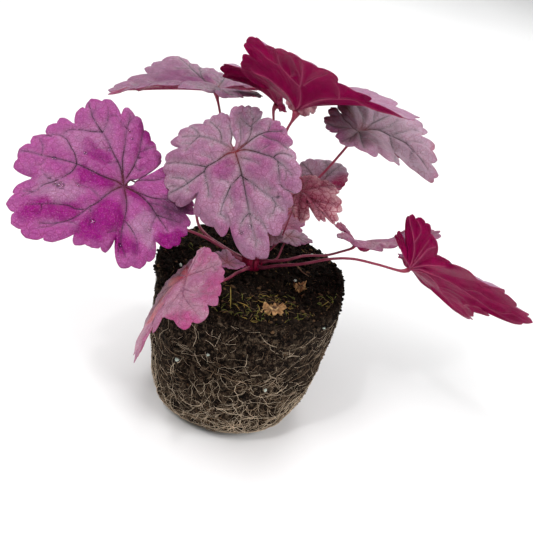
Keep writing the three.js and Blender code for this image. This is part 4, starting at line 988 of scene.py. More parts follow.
# %% The finish of a leaf
def leaf_finish(name, shine):
    """Satin skin: the painted colour, a net of fine cells, pale bloom in specks above, and a pebbled bump."""
    f = Finish(name, Subsurface_Weight=0.08, Subsurface_Scale=0.0015, Specular_IOR_Level=shine)
    blade = f.add("Mapping", 0, Vector=f.add("UVMap", 0, [("uv_map", "blade")]), Scale=(120, 120, 120))
    wander = f.add("TexNoise", "Color", Vector=blade, Scale=0.35, Detail=2)
    blade = f.add("VectorMath", 0, [("operation", "MULTIPLY_ADD")], _0=wander, _1=(1.6, 1.6, 0), _2=blade)
    upper = f.field("upper")
    cells = f.add("TexVoronoi", "Distance", [("feature", "DISTANCE_TO_EDGE"), ("voronoi_dimensions", "2D")],
                  Vector=blade, Scale=0.3)
    small = f.add("TexVoronoi", "Distance", [("feature", "DISTANCE_TO_EDGE"), ("voronoi_dimensions", "2D")],
                  Vector=blade, Scale=0.85)
    net = f.band(cells, 0.0, f.band(f.field("net"), 0.5, 1.0, 0.07, 0.16), 1, 0)
    mesh = f.band(small, 0.0, 0.16, 1, 0)
    fine, broad = f.grain(0.6, 4), f.grain(5, 3)
    colour = f.field("paint", "Color")
    darker = f.blend(0.9, colour, (0.5, 0.04, 0.16), "MULTIPLY")
    lines = f.math("MAXIMUM", net, f.math("MULTIPLY", mesh, 0.5))
    lines = f.math("MULTIPLY", f.math("MULTIPLY", lines, f.field("net")), f.band(broad, 0.35, 0.6, 0.45, 1.0))
    colour = f.blend(lines, colour, darker)
    bloom = f.math("MULTIPLY", f.band(fine, 0.5, 0.75, 0.0, 0.14), upper)
    colour = f.blend(bloom, colour, tint(214, 190, 206))
    both = f.math("MULTIPLY", f.band(fine, 0.3, 0.7, 0.9, 1.1), f.band(broad, 0.3, 0.7, 0.88, 1.1))
    bright = f.add("HueSaturation", 0, Color=colour, Value=both)
    height = f.math("ADD", f.math("MULTIPLY", f.math("ADD", net, mesh), -0.5), f.math("MULTIPLY", fine, 0.7))
    gloss = f.math("ADD", f.band(fine, 0.3, 0.7, 0.26, 0.4), f.math("MULTIPLY", upper, 0.08))
    return f.done(Base_Color=bright, Roughness=gloss, Normal=f.bump(height, 0.42, 0.8))


LEAF_ABOVE, LEAF_BELOW = leaf_finish("leaf satin above", 0.13), leaf_finish("leaf satin below", 0.06)
print("leaf finishes:", LEAF_ABOVE.name, "and", LEAF_BELOW.name)

# %% Make the sixteen blades
SLOTS = {"magenta": "leaf_magenta", "lilac": "leaf_lilac", "pink": "leaf_pink", "rose": "leaf_rose"}
for leaf in LEAVES:
    mesh = blade_shell(leaf)
    add_piece(leaf.name, mesh, LEAF_ABOVE, SLOTS[leaf.kind], leaf.name + "_blade")
    mesh.materials.append(LEAF_BELOW)
    # A face takes the duller finish when its first corner lies on the underside.
    upper = np.empty(len(mesh.vertices))
    corners = np.empty(len(mesh.loops), np.int32)
    starts = np.empty(len(mesh.polygons), np.int32)
    mesh.attributes["upper"].data.foreach_get("value", upper)
    mesh.loops.foreach_get("vertex_index", corners)
    mesh.polygons.foreach_get("loop_start", starts)
    mesh.polygons.foreach_set("material_index", (upper[corners[starts]] < 0.5).astype(np.int32))
print("blades made:", len(LEAVES))

# %% [markdown]
# Rain has left a few drops on the two front blades. A drop is a low closed dome, and it sits in the puff
# or the valley under it because it asks the same formula for the skin.

# %% Water drops
DROPS = {
    "leaf_01": [(28.2, 24.4, 1.1), (23.7, 9.2, 0.8), (12.7, 30, 1.9), (14.6, 31.8, 1),
                (-27.9, 2, 1), (10.3, -15.2, 0.9), (20.5, -16.4, 0.7), (-28.1, 20.3, 1),
                (20.4, -2.4, 0.9), (-13, 27, 1.1), (9, 22, 0.8), (25, -18, 1)],
    "leaf_02": [(-2.5, 39.4, 1.2), (2, 41.8, 1), (-20.8, 28.1, 0.8), (16, 21, 0.6),
                (-9, 12, 0.6)],
}


def drop(foot, face, radius):
    """A dome: rings of radius r cos(e) at height 0.7 r sin(e), closed above and below by one point."""
    lift = np.radians([-12, 8, 28, 50, 72])[:, None, None]
    a = np.radians(np.arange(0, 360, 30))[None, :, None]
    x = unit(np.cross(face, [0.3, 0.2, 0.9]))
    y = np.cross(face, x)
    rings = foot + radius * np.cos(lift) * (np.cos(a) * x + np.sin(a) * y)
    rings = rings + 0.7 * radius * np.sin(lift) * face
    points, quads, tris = close_rings(rings, foot - 0.2 * radius * face, foot + 0.7 * radius * face)
    return points, quads, tris, {}


wet = []
for leaf in LEAVES:
    for x, y, radius in DROPS.get(leaf.name, []):
        spot = np.array([[x, y]])
        angle, t = polar(leaf, spot)
        dark, near = vein_field(spot, VEINS[leaf.name])
        over, _, normal = skins(leaf, angle, t, t / reach(leaf, angle), dark, near)
        wet.append(drop(blade_place(leaf, over)[0], blade_way(leaf, normal)[0], 1.2 * radius))
f = Finish("water", Roughness=0.02, Transmission_Weight=1.0, IOR=1.33)
add_shape("water_drops", join_shapes(wet), f.done(Base_Color=(0.98, 0.95, 0.98, 1)), "leaf_magenta")
print("drops:", len(wet))

# %% [markdown]
# ## Stalks
# A stalk is thin, wine red and finely streaked. It swells into a sheath at the crown and flares where it
# joins the blade. It follows the same path as its solid, and short hairs stand off it. Leaf 13 lies
# almost in line with its stalk, so RUN carries that stalk's tip a little along the midrib and up.

# %% Stalks
CROWN = {"radius": 6.6, "height": 95.5, "squash": 0.95, "sink": 5.5}
# The clear space round the crown, and how far a stalk widens under a blade where it isn't the usual 1.
GAP = 0.3
FLARE = {"leaf_13": 0.42, "leaf_12": 0.5, "leaf_14": 0.6}
RUN = {"leaf_13": (1.2, 1.6)}


def stalk_path(leaf, steps):
    """From the crown's skin along the leaf's route to the blade's underside."""
    heart = np.array([0, 0, CROWN["height"]])
    out = unit(leaf.route[0] - heart)
    wide = CROWN["radius"] * CROWN["squash"]
    skin = 1 / np.linalg.norm(out / [wide, wide, CROWN["radius"]])
    seat = 0.35 + GAP
    below = unit(leaf.n + 0.9 * unit(leaf.at - leaf.route[-1]))
    knots = [heart + out * (skin + GAP), heart + out * (skin + GAP + 2), *leaf.route[1:],
             leaf.at - below * (seat + 3), leaf.at - leaf.n * (seat + 0.25)]
    return smooth_path(knots, steps)


def stalk_shape(leaf):
    """The path with a radius that falls from the sheath to the waist and grows again under the blade."""
    length = np.linalg.norm(np.diff(leaf.route, axis=0), axis=1).sum() + 12
    steps = max(14, int(length / 1.4))
    path = stalk_path(leaf, steps)
    foot = leaf.at + leaf.n * (2.2 * min(0, math.sin(math.radians(leaf.lifts.min()))) - 0.35)
    ahead, up = RUN.get(leaf.name, (0, 0))
    run = ahead * leaf.m + up * leaf.n
    tip = [foot + 0.2 * run, foot + leaf.n * 0.05 + run]
    path = np.concatenate([path[:1] - (path[1:2] - path[:1]) * 1.6, path[:-1], tip])
    s = np.linspace(0, 1, len(path))
    radius = leaf.thin * (0.7 + 0.4 * (1 - s) ** 3)
    walk = (1 - s) * length
    flare = FLARE.get(leaf.name, 1) * min(2.1, leaf.length / 28)
    radius = radius + leaf.thin * flare * np.exp(-(((walk + 0.6) / 4.0) ** 2))
    radius = radius + leaf.thin * 0.5 * np.exp(-((s * length / 4) ** 2))
    radius[-1] = 0.1
    return tube(path, radius, 12)


def hairs(path, radius, count, seed):
    """Fine three-sided spikes that stand off a stalk."""
    draw = np.random.default_rng(seed)
    k = draw.integers(2, len(path) - 3, count)
    t = unit(path[k + 1] - path[k])
    out = unit(np.cross(t, draw.normal(size=(count, 3))))
    side = np.cross(t, out)
    foot = path[k] + (path[k + 1] - path[k]) * draw.random((count, 1)) + out * radius * 0.9
    long = draw.uniform(0.5, 1.3, (count, 1))
    w = 0.045
    a, b, c = foot + t * w, foot - t * w + side * w, foot - t * w - side * w
    tip = foot + (out + t * draw.uniform(-0.2, 0.5, (count, 1))) * long
    points = np.stack([a, b, c, tip], 1).reshape(-1, 3)
    base = np.arange(count)[:, None] * 4
    tris = (base[:, None] + np.array([[0, 2, 1], [0, 1, 3], [1, 2, 3], [2, 0, 3]])[None]).reshape(-1, 3)
    fields = {"along": np.full(count * 4, 0.5), "turn": np.zeros(count * 4)}
    return points, np.zeros((0, 4), int), tris, fields


def stalk_finish():
    """Wine red skin, rosier at the top, with fine streaks along it."""
    f = Finish("stalk wine", Roughness=0.42, Specular_IOR_Level=0.35)
    turn, along_it = f.math("MULTIPLY", f.field("turn"), 9.0), f.math("MULTIPLY", f.field("along"), 6.0)
    lay = f.add("CombineXYZ", 0, _0=turn, _1=along_it)
    streak = f.add("TexNoise", "Fac", Vector=lay, Scale=2.0, Detail=3)
    ramp = f.band(f.field("along"), 0.0, 0.9)
    tip = f.band(f.field("along"), 0.97, 1.0)
    colour = f.blend(ramp, tint(80, 0, 37), tint(152, 48, 76))
    colour = f.blend(tip, colour, tint(112, 26, 44))
    colour = f.blend(f.band(streak, 0.42, 0.68), colour, tint(158, 70, 92))
    return f.done(Base_Color=colour, Normal=f.bump(streak, 0.15, 0.6))


STALK_WINE = stalk_finish()
for k, leaf in enumerate(LEAVES):
    hairy = hairs(stalk_path(leaf, 40), 0.72 * leaf.thin, int(4 * leaf.length ** 0.8), 50 + k)
    shape = join_shapes([stalk_shape(leaf), hairy])
    add_shape(leaf.name + "_petiole", shape, STALK_WINE, "stalk", leaf.name + "_stalk")
print("stalks made:", len(LEAVES))

# %% [markdown]
# ## The root ball
# The compost has kept the pot's shape: a flat foot, a rounded lower edge, a slightly wider top and a
# loose heap round the crown. The surface is one profile spun round the middle. Its first parameter walks
# up the profile, its second turns round it, and noise pushes every point along its own normal.

# %% Profile of the ball
BALL = {"top": 53.0, "base": 46.0, "height": 94.0, "foot": 29.0, "edge": 17.0, "shoulder": 89.5}
FOOT_STEPS, EDGE_STEPS, WALL_STEPS, RIM_STEPS, TOP_STEPS = 15, 24, 59, 13, 59
SIDE = slice(FOOT_STEPS, FOOT_STEPS + EDGE_STEPS + WALL_STEPS)
TOP = slice(-TOP_STEPS, None)


def lump(angle, z):
    """Slow waves round and up the ball, with a lean towards +x near the top."""
    lean = 2.4 * (1 + np.cos(angle)) * z / BALL["height"]
    return (lean + 0.8 * np.sin(3 * angle + 0.05 * z) + 0.7 * np.sin(5 * angle - 0.09 * z + 1.3)
            + 0.5 * np.sin(8 * angle + 0.12 * z + 0.4))


def profile():
    """Knots of the profile: radius, height, share of the side's lumps and share of the top's waves."""
    z = np.linspace(0, BALL["edge"], EDGE_STEPS)
    cone = BALL["base"] + (BALL["top"] - BALL["base"]) * z / BALL["height"]
    edge = cone - BALL["edge"] + np.sqrt(BALL["edge"] ** 2 - (BALL["edge"] - z) ** 2)
    wall_z = np.linspace(BALL["edge"], BALL["shoulder"], WALL_STEPS + 1)[1:]
    wall = BALL["base"] + (BALL["top"] - BALL["base"]) * wall_z / BALL["height"]
    u = np.linspace(0, 1, RIM_STEPS + 1)[1:]
    rim_r = (1 - u) ** 2 * wall[-1] + 2 * u * (1 - u) * 52.7 + u**2 * 50.6
    rim_z = (1 - u) ** 2 * BALL["shoulder"] + 2 * u * (1 - u) * 92.6 + u**2 * 92.5
    top = np.linspace(50.6, CROWN["radius"] + GAP, TOP_STEPS + 1)[1:]
    top_z = BALL["height"] + 0.6 - 2.4 * (top / BALL["top"]) ** 3
    r = np.concatenate([np.linspace(0.01, BALL["foot"], FOOT_STEPS + 1)[:-1], edge, wall, rim_r, top])
    h = np.concatenate([np.zeros(FOOT_STEPS), z, wall_z, rim_z, top_z])
    ease = np.where(r > 49, np.clip((r / 53) ** 4 * 0.9, 0, 1), (r / 53) ** 4 * 0.8)
    side = [np.zeros(FOOT_STEPS), smoothstep(z, 0, 20), np.ones(WALL_STEPS), 1 - 0.25 * u, ease[TOP]]
    wave = np.concatenate([np.zeros(len(r) - TOP_STEPS), 1 - top / BALL["top"]])
    walk = np.concatenate([[0], np.cumsum(np.hypot(np.diff(r), np.diff(h)))])
    return walk, r, h, np.concatenate(side), wave


WALK, WALK_R, WALK_H, WALK_SIDE, WALK_WAVE = profile()


def walk_at(z):
    """The walk along the profile at a height of the side."""
    return np.interp(z, WALK_H[SIDE], WALK[SIDE])


def walk_in(r):
    """The walk along the profile at a distance from the middle of the top."""
    return np.interp(-r, -WALK_R[TOP], WALK[TOP])


WALL_START = walk_at(BALL["edge"])
RIM_WALK = WALK[SIDE.stop - 1]
TOP_WALK = WALK[SIDE.stop + RIM_STEPS - 1]


def ball_point(walk, angle, lift=0.0, grit=1.0):
    """A point of the ball: the lumped and waved profile, moved along its normal by noise and lift."""
    walk, angle = np.broadcast_arrays(np.asarray(walk, float), np.asarray(angle, float))
    r = np.interp(walk, WALK, WALK_R)
    z = np.interp(walk, WALK, WALK_H)
    r = r + np.interp(walk, WALK, WALK_SIDE) * lump(angle, z)
    waves = 0.7 * np.sin(0.16 * r * np.cos(angle) + 1) + 0.7 * np.sin(0.19 * r * np.sin(angle) + 2)
    z = z + np.interp(walk, WALK, WALK_WAVE) * waves
    dr = np.interp(walk + 1.5, WALK, WALK_R) - np.interp(walk - 1.5, WALK, WALK_R)
    dz = np.interp(walk + 1.5, WALK, WALK_H) - np.interp(walk - 1.5, WALK, WALK_H)
    size = np.hypot(dr, dz) + 1e-9
    normal = np.stack([dz / size * np.cos(angle), dz / size * np.sin(angle), -dr / size], -1)
    p = spun(r, angle, z)

    def bumps(size, octaves, seed):
        """Rough noise at every point, in the same rows and columns."""
        return rough(p.reshape(-1, 3), size, octaves, seed).reshape(walk.shape)

    on_top = smoothstep(walk, RIM_WALK - 4, TOP_WALK + 3)
    body = 0.75 + 0.75 * bumps(7.0, 2, 1) + 0.5 * bumps(2.2, 2, 5)
    loose = 1.5 * bumps(6.5, 3, 12) + 0.6 * bumps(1.8, 2, 17)
    ragged = 1.5 * np.exp(-(((walk - RIM_WALK - 3) / 5) ** 2)) * bumps(9.0, 2, 23)
    chipped = -1.6 * np.exp(-(((walk - WALL_START + 8) / 8) ** 2)) * np.clip(bumps(12.0, 2, 31), 0, 1)
    height = (1 - on_top) * body + on_top * loose + ragged + chipped
    calm = smoothstep(walk, 22, 40) * (1 - smoothstep(walk, WALK[-1] - 3, WALK[-1]))
    return p + normal * (grit * calm * height + lift)[..., None], normal


print("compost walk:", round(WALK[-1], 1), "mm from foot to crown")

# %% Soil surface
def soil_shell():
    """The spun profile with a closed foot and a plain hole for the crown."""
    around = 350
    walk = np.concatenate([np.linspace(0, WALL_START, 42)[1:-1], np.linspace(WALL_START, WALK[-1], 150)])
    angle = np.arange(around) * 2 * np.pi / around
    points, _ = ball_point(walk[:, None], angle[None, :])
    points[..., 2] = np.maximum(points[..., 2], 0)
    r, floor = CROWN["radius"] + GAP, CROWN["height"] - CROWN["radius"] - CROWN["sink"] - GAP
    rows = np.concatenate([points, spun(r, angle, floor)[None]])
    flat = np.concatenate([rows.reshape(-1, 3), [[0, 0, 0], [0, 0, floor]]])
    quads, tris = ring_faces(len(rows), around, len(flat) - 2, len(flat) - 1)
    top = smoothstep(np.concatenate([walk, [walk[-1]]]), RIM_WALK - 3, TOP_WALK + 2)
    fields = {"top": np.concatenate([np.repeat(top, around), [0, 1]])}
    return make_mesh("compost", flat, quads, tris, fields=fields)


def soil_finish():
    """Damp peat: almost black on top, brown on the side, with crumbs and pale hair-thin fibres."""
    f = Finish("damp peat", Roughness=0.9, Specular_IOR_Level=0.04)
    coarse, fine, speck = f.grain(3, 6), f.grain(1.0, 5), f.grain(0.6, 3)
    side = f.blend(f.band(coarse, 0.35, 0.68), tint(8, 5, 4), tint(34, 23, 17))
    side = f.blend(f.band(fine, 0.54, 0.74), side, tint(70, 53, 42))
    side = f.blend(f.band(speck, 0.6, 0.72, 0, 0.85), side, tint(122, 100, 80))
    # Near-black spots on the side: painted shade of the small holes in the peat.
    side = f.blend(f.band(f.grain(1.3, 4), 0.5, 0.38), side, tint(3, 2, 2))
    top = f.blend(f.band(fine, 0.4, 0.72), tint(7, 5, 4), tint(30, 22, 18))
    top = f.blend(f.band(speck, 0.57, 0.72), top, tint(82, 64, 48))
    top = f.blend(f.band(f.grain(16, 3), 0.5, 0.7, 0, 0.5), top, tint(46, 37, 30))
    swirl = f.add("TexNoise", "Color", Vector=f.place(), Scale=160.0)
    swirl = f.add("VectorMath", 0, [("operation", "SCALE")], _0=swirl, Scale=0.006)
    warp = f.add("VectorMath", 0, [("operation", "ADD")], _0=f.place(), _1=swirl)
    fibres = []
    for turn, size in (((0.3, 0.9, 0.2), 300.0), ((1.1, 0.2, 0.8), 240.0), ((0.7, 1.4, 1.9), 270.0)):
        lay = f.add("Mapping", 0, Vector=warp, Rotation=turn, Scale=(1, 1, 0.22))
        edge = f.add("TexVoronoi", "Distance", [("feature", "DISTANCE_TO_EDGE")], Vector=lay, Scale=size)
        fibres.append(f.band(edge, 0.0, 0.07, 1, 0))
    hair = f.math("MAXIMUM", f.math("MAXIMUM", fibres[0], fibres[1]), fibres[2])
    hair = f.math("MULTIPLY", hair, f.band(coarse, 0.42, 0.62, 0.0, 0.5))
    side = f.blend(hair, side, tint(112, 97, 80))
    colour = f.blend(f.field("top"), side, top)
    height = f.math("ADD", f.math("MULTIPLY", fine, 1.0), f.math("MULTIPLY", coarse, 0.8))
    return f.done(Base_Color=colour, Normal=f.bump(height, 1.1, 0.9))


PEAT = soil_finish()
add_piece("compost", soil_shell(), PEAT, "soil", "root_ball_soil")

# %% [markdown]
# ## Crumbs
# Loose compost is a heap of crumbs, and the eye reads them at once. Each crumb is a small lump of three
# rings of six points between two poles, squeezed and turned at random, so thousands of them stay light.

# %% Scatter of lumps
# Points of one lump.
LUMP = 20


def lumps(centres, sizes, seed, flat=0.7):
    """Small closed lumps: unit vectors scaled unevenly, tilted, spun and set on their centres."""
    draw = np.random.default_rng(seed)
    lat = np.radians([-50, 0, 50])
    a = np.arange(6) * np.pi / 3
    ring = spun(np.cos(lat)[:, None], a, np.sin(lat)[:, None]).reshape(-1, 3)
    base = np.concatenate([ring, [[0, 0, -1], [0, 0, 1]]])
    count = len(centres)
    p = base[None] * draw.uniform(0.72, 1.22, (count, LUMP, 1))
    p = p * draw.uniform([0.75, 0.75, 0.75 * flat], [1.25, 1.25, 1.1 * flat], (count, 3))[:, None]
    spin = draw.uniform(0, 2 * np.pi, count)
    c, s = np.cos(spin)[:, None], np.sin(spin)[:, None]
    tilt = draw.uniform(-0.7, 0.7, count)[:, None]
    x, y, z = p[..., 0], p[..., 1], p[..., 2]
    y, z = y * np.cos(tilt) - z * np.sin(tilt), y * np.sin(tilt) + z * np.cos(tilt)
    p = np.stack([x * c - y * s, x * s + y * c, z], -1) * np.asarray(sizes)[:, None, None] + centres[:, None]
    quads, tris = ring_faces(3, 6, LUMP - 2, LUMP - 1)
    move = np.arange(count)[:, None, None] * LUMP
    fields = {"shade": np.repeat(draw.random(count), LUMP)}
    return p.reshape(-1, 3), (quads[None] + move).reshape(-1, 4), (tris[None] + move).reshape(-1, 3), fields


def crumb_finish():
    """Each crumb has its own brown, from near black to bark."""
    f = Finish("crumbs", Roughness=0.9, Specular_IOR_Level=0.05)
    shade = f.field("shade")
    colour = f.blend(f.band(shade, 0.1, 0.75), tint(8, 6, 5), tint(30, 23, 19))
    colour = f.blend(f.band(shade, 0.86, 0.98), colour, tint(92, 70, 50))
    fine = f.grain(0.9, 3)
    colour = f.blend(f.band(fine, 0.5, 0.75, 0, 0.5), colour, tint(54, 43, 34))
    return f.done(Base_Color=colour, Normal=f.bump(fine, 0.4, 0.8))


def crumbs():
    """Crumbs thick on the top and along the rim, thin on the side."""
    draw = np.random.default_rng(4)
    top, rim, side = 1500, 420, 700
    top_r = np.sqrt(draw.uniform(9**2, 53**2, top))
    walk = np.concatenate([walk_in(top_r), draw.uniform(RIM_WALK - 5, TOP_WALK + 3, rim),
                           draw.uniform(WALL_START - 6, RIM_WALK, side)])
    angle = draw.uniform(0, 2 * np.pi, len(walk))
    size = np.concatenate([draw.gamma(3, 0.2, top), draw.gamma(3, 0.2, rim), draw.gamma(3, 0.1, side)]) + 0.25
    points, normal = ball_point(walk, angle)
    return lumps(points + normal * size[:, None] * 0.25, size, 6)


heap = crumbs()
add_shape("compost_crumbs", heap, crumb_finish(), "soil")
print("crumbs:", len(heap[0]) // LUMP)

# %% [markdown]
# ## Roots
# Roots that met the pot's wall turned and ran along it, so the side of the ball wears a pale net,
# thickest low down where the wall met the floor. Each root is a tube that wanders over the surface.

# %% Thick roots, in the same places as the solid net
def repeat_draw(seed):
    """A repeatable stream: s = (1664525 s + 1013904223) mod 2^32, as a share of 2^32."""
    s = seed
    while True:
        s = (s * 1664525 + 1013904223) % 4294967296
        yield s / 4294967296


def thick_roots():
    """Two hoops, twelve roots that run down and seven slanting ones, wavering by sines."""
    draw = repeat_draw(11)
    turn = 2 * math.pi
    ways = []
    for z in (18, 52):
        for k in range(3):
            start, end = (turn * k / 3, z), (turn * (k + 1) / 3 + 0.12, z + 1)
            ways.append((start, end, 3, next(draw) * 6.3, next(draw) * 6.3))
    for k in range(12):
        a = turn * (k + next(draw) * 0.6) / 12
        high = 68 + next(draw) * 14
        away = a + (next(draw) - 0.5) * 0.9
        low = 10 + next(draw) * 4
        ways.append(((a, high), (away, low), 3, next(draw) * 6.3, next(draw) * 6.3))
    for _ in range(7):
        a = turn * next(draw)
        low = 12 + next(draw) * 20
        away = a + 0.5 + next(draw) * 0.5
        ways.append(((a, low), (away, low + 26), 4, next(draw) * 6.3, next(draw) * 6.3))
    shapes = []
    for k, ((a0, z0), (a1, z1), waver, p1, p2) in enumerate(ways):
        length = math.hypot((a1 - a0) * 50, z1 - z0)
        s = np.linspace(0, 1, max(10, int(length / 1.8)))
        a = a0 + (a1 - a0) * s + waver * np.sin(7 * s + p1) / 50
        z = np.clip(z0 + (z1 - z0) * s + waver * np.sin(6 * s + p2), 9, 86)
        a = a + 0.012 * np.sin(23 * s + 3 * k) + 0.006 * np.sin(57 * s + k)
        lift = -0.05 + 0.4 * np.sin(11 * s + k) + 0.25 * np.sin(29 * s + 2 * k)
        path, _ = ball_point(walk_at(z), a, lift)
        ends = np.clip(np.minimum(s, 1 - s) * 8, 0.35, 1)
        points, quads, tris, _ = tube(path, 0.15 * ends * (1 + 0.25 * np.sin(31 * s)), 4)
        shapes.append((points, quads, tris, {"shade": np.full(len(points), 0.4 + 0.25 * math.sin(k))}))
    return shapes


# %% Fine roots that wander
# Millimetres that a root goes in one step.
STRIDE = 1.6


def fine_roots(count):
    """Each root takes equal steps; noise turns its heading, a slow wave lifts it, and its ends dip in."""
    draw = np.random.default_rng(9)
    shapes = []
    low, high = WALL_START - 20, RIM_WALK - 3
    while len(shapes) < count:
        a0, share = draw.uniform(0, 2 * np.pi), draw.random() ** 1.7
        steps = int(draw.integers(5, 24 - int(14 * share)))
        walk0 = low + (high - low) * share
        right = 0.5 + 0.5 * math.cos(a0 + 0.5)
        if draw.random() > 0.3 + 0.55 * (1 - share) ** 2 + 0.35 * right * (1 - share * 0.5):
            continue
        heading = draw.uniform(0, 2 * np.pi)
        if draw.random() < 0.5:
            heading = draw.choice([0, np.pi]) + draw.normal() * 0.5
        turns = heading + np.cumsum(draw.normal(0, 0.3, steps))
        turns = turns + 0.25 * np.sin(np.arange(steps) * draw.uniform(0.2, 0.7))
        angle = a0 + np.cumsum(np.cos(turns)) * STRIDE / 49
        walk = np.clip(walk0 + np.cumsum(np.sin(turns)) * STRIDE, low - 6, high + 2)
        radius = draw.uniform(0.05, 0.15 - 0.05 * share) * (1 - 0.5 * np.linspace(0, 1, steps))
        s = np.linspace(0, 1, steps)
        lift = 0.10 + draw.uniform(0, 0.45) + 0.2 * np.sin(6 * s + draw.uniform(0, 6))
        lift = lift - 0.9 * (s**8 + (1 - s) ** 8)
        path, _ = ball_point(walk, angle, lift)
        path[:, 2] = np.maximum(path[:, 2], 0.3)
        points, quads, tris, _ = tube(path, radius, 3)
        shapes.append((points, quads, tris, {"shade": np.full(len(points), draw.random())}))
    return shapes


def root_finish():
    """Pale straw, browner on some roots, with small rings of dirt."""
    f = Finish("root straw", Roughness=0.75, Specular_IOR_Level=0.25)
    shade = f.field("shade")
    colour = f.blend(f.band(shade, 0.0, 0.9), tint(122, 94, 68), tint(248, 226, 196))
    dirt = f.grain(2.5, 3)
    colour = f.blend(f.band(dirt, 0.5, 0.72, 0, 0.65), colour, tint(58, 45, 35))
    return f.done(Base_Color=colour, Normal=f.bump(f.grain(0.5, 2), 0.1, 0.5))


ROOT_STRAW = root_finish()
add_shape("thick_roots", join_shapes(thick_roots()), ROOT_STRAW, "roots", "root_net")
mat = join_shapes(fine_roots(2250))
add_shape("fine_roots", mat, ROOT_STRAW, "roots")
print("fine root triangles:", 2 * len(mat[1]) + len(mat[2]))

# %% [markdown]
# ## Crown
# The crown is a short woody knob. Old leaf bases wrap it like scales, so it is made as a knob with a
# ring of overlapping scales whose tips stand off.

# %% Crown
def knob():
    """A spun profile with bumps, closed at both poles."""
    rows, sides = 16, 28
    a = np.arange(sides) * 2 * np.pi / sides
    lat = np.radians(np.linspace(-62, 88, rows))
    r = CROWN["radius"] * CROWN["squash"] * np.cos(lat)
    z = CROWN["height"] + CROWN["radius"] * np.sin(lat)
    z[0] = CROWN["height"] - CROWN["radius"] - CROWN["sink"] + 0.4
    flat = spun(r[:, None], a, z[:, None]).reshape(-1, 3)
    flat = flat + unit(flat - [0, 0, CROWN["height"]]) * (0.35 * rough(flat, 2.4, 2, 3))[:, None]
    points = np.concatenate([flat, [[0, 0, z[0]], [0, 0, CROWN["height"] + CROWN["radius"]]]])
    quads, tris = ring_faces(rows, sides, len(flat), len(flat) + 1)
    return points, quads, tris, {"shade": np.full(len(points), 0.4)}


def scale_leaf(angle, base, long, wide, lean, shade):
    """A pointed scale: a thin closed patch that hugs the knob below and leans out above."""
    rows, columns = 9, 7
    u = np.linspace(0, 1, rows)[:, None]
    v = np.linspace(-1, 1, columns)[None]
    width = wide * (1 - u**2.2) * (0.75 + 0.5 * u)
    height = base + long * u
    r = np.sqrt(np.maximum(0.1, 1 - (np.clip(height - CROWN["height"], -6, 6) / 6.9) ** 2)) * 6.5
    r = r + lean * u**2 - 0.5 * v**2 * (1 - u) + 0.25
    a = angle + width * v / 6.0
    thick = 0.35
    points = np.concatenate([spun(r, a, height).reshape(-1, 3), spun(r - thick, a, height).reshape(-1, 3)])
    ids = np.arange(rows * columns).reshape(rows, columns)
    loop = np.concatenate([ids[0, :-1], ids[:-1, -1], ids[-1, :0:-1], ids[:0:-1, 0]])
    faces = two_skins(grid_quads(ids), loop, ids.size)
    return points, faces, NO_TRIS, {"shade": np.full(len(points), shade)}


def crown_finish():
    """Crimson bud skin that browns at the older scales."""
    f = Finish("crown crimson", Roughness=0.5, Specular_IOR_Level=0.15)
    colour = f.blend(f.band(f.field("shade"), 0.2, 0.9), tint(108, 0, 40), tint(54, 6, 18))
    colour = f.blend(f.band(f.grain(2.2, 3), 0.45, 0.7, 0, 0.7), colour, tint(140, 6, 54))
    return f.done(Base_Color=colour, Normal=f.bump(f.grain(0.8, 3), 0.2, 0.7))


draw = np.random.default_rng(5)
scales = [scale_leaf(a + draw.uniform(-0.2, 0.2), 93.5 + 1.4 * ring, draw.uniform(4.5, 6.5),
                     draw.uniform(1.8, 2.6), draw.uniform(0.8, 2.2), draw.random())
          for ring in (0, 1, 2) for a in np.arange(6) * 2 * np.pi / 6 + 0.5 * ring]
add_shape("crown_scales", join_shapes([knob(), *scales]), crown_finish(), "crown", "crown")
print("crown scales:", len(scales))

# %% [markdown]
# ## Small things on the soil
# Two shrivelled leaves, white perlite grains, moss and grass at the front rim and a dry twig make the
# ball look used. A shrivelled leaf is a thin closed disc, crumpled by noise and frayed at its edge.

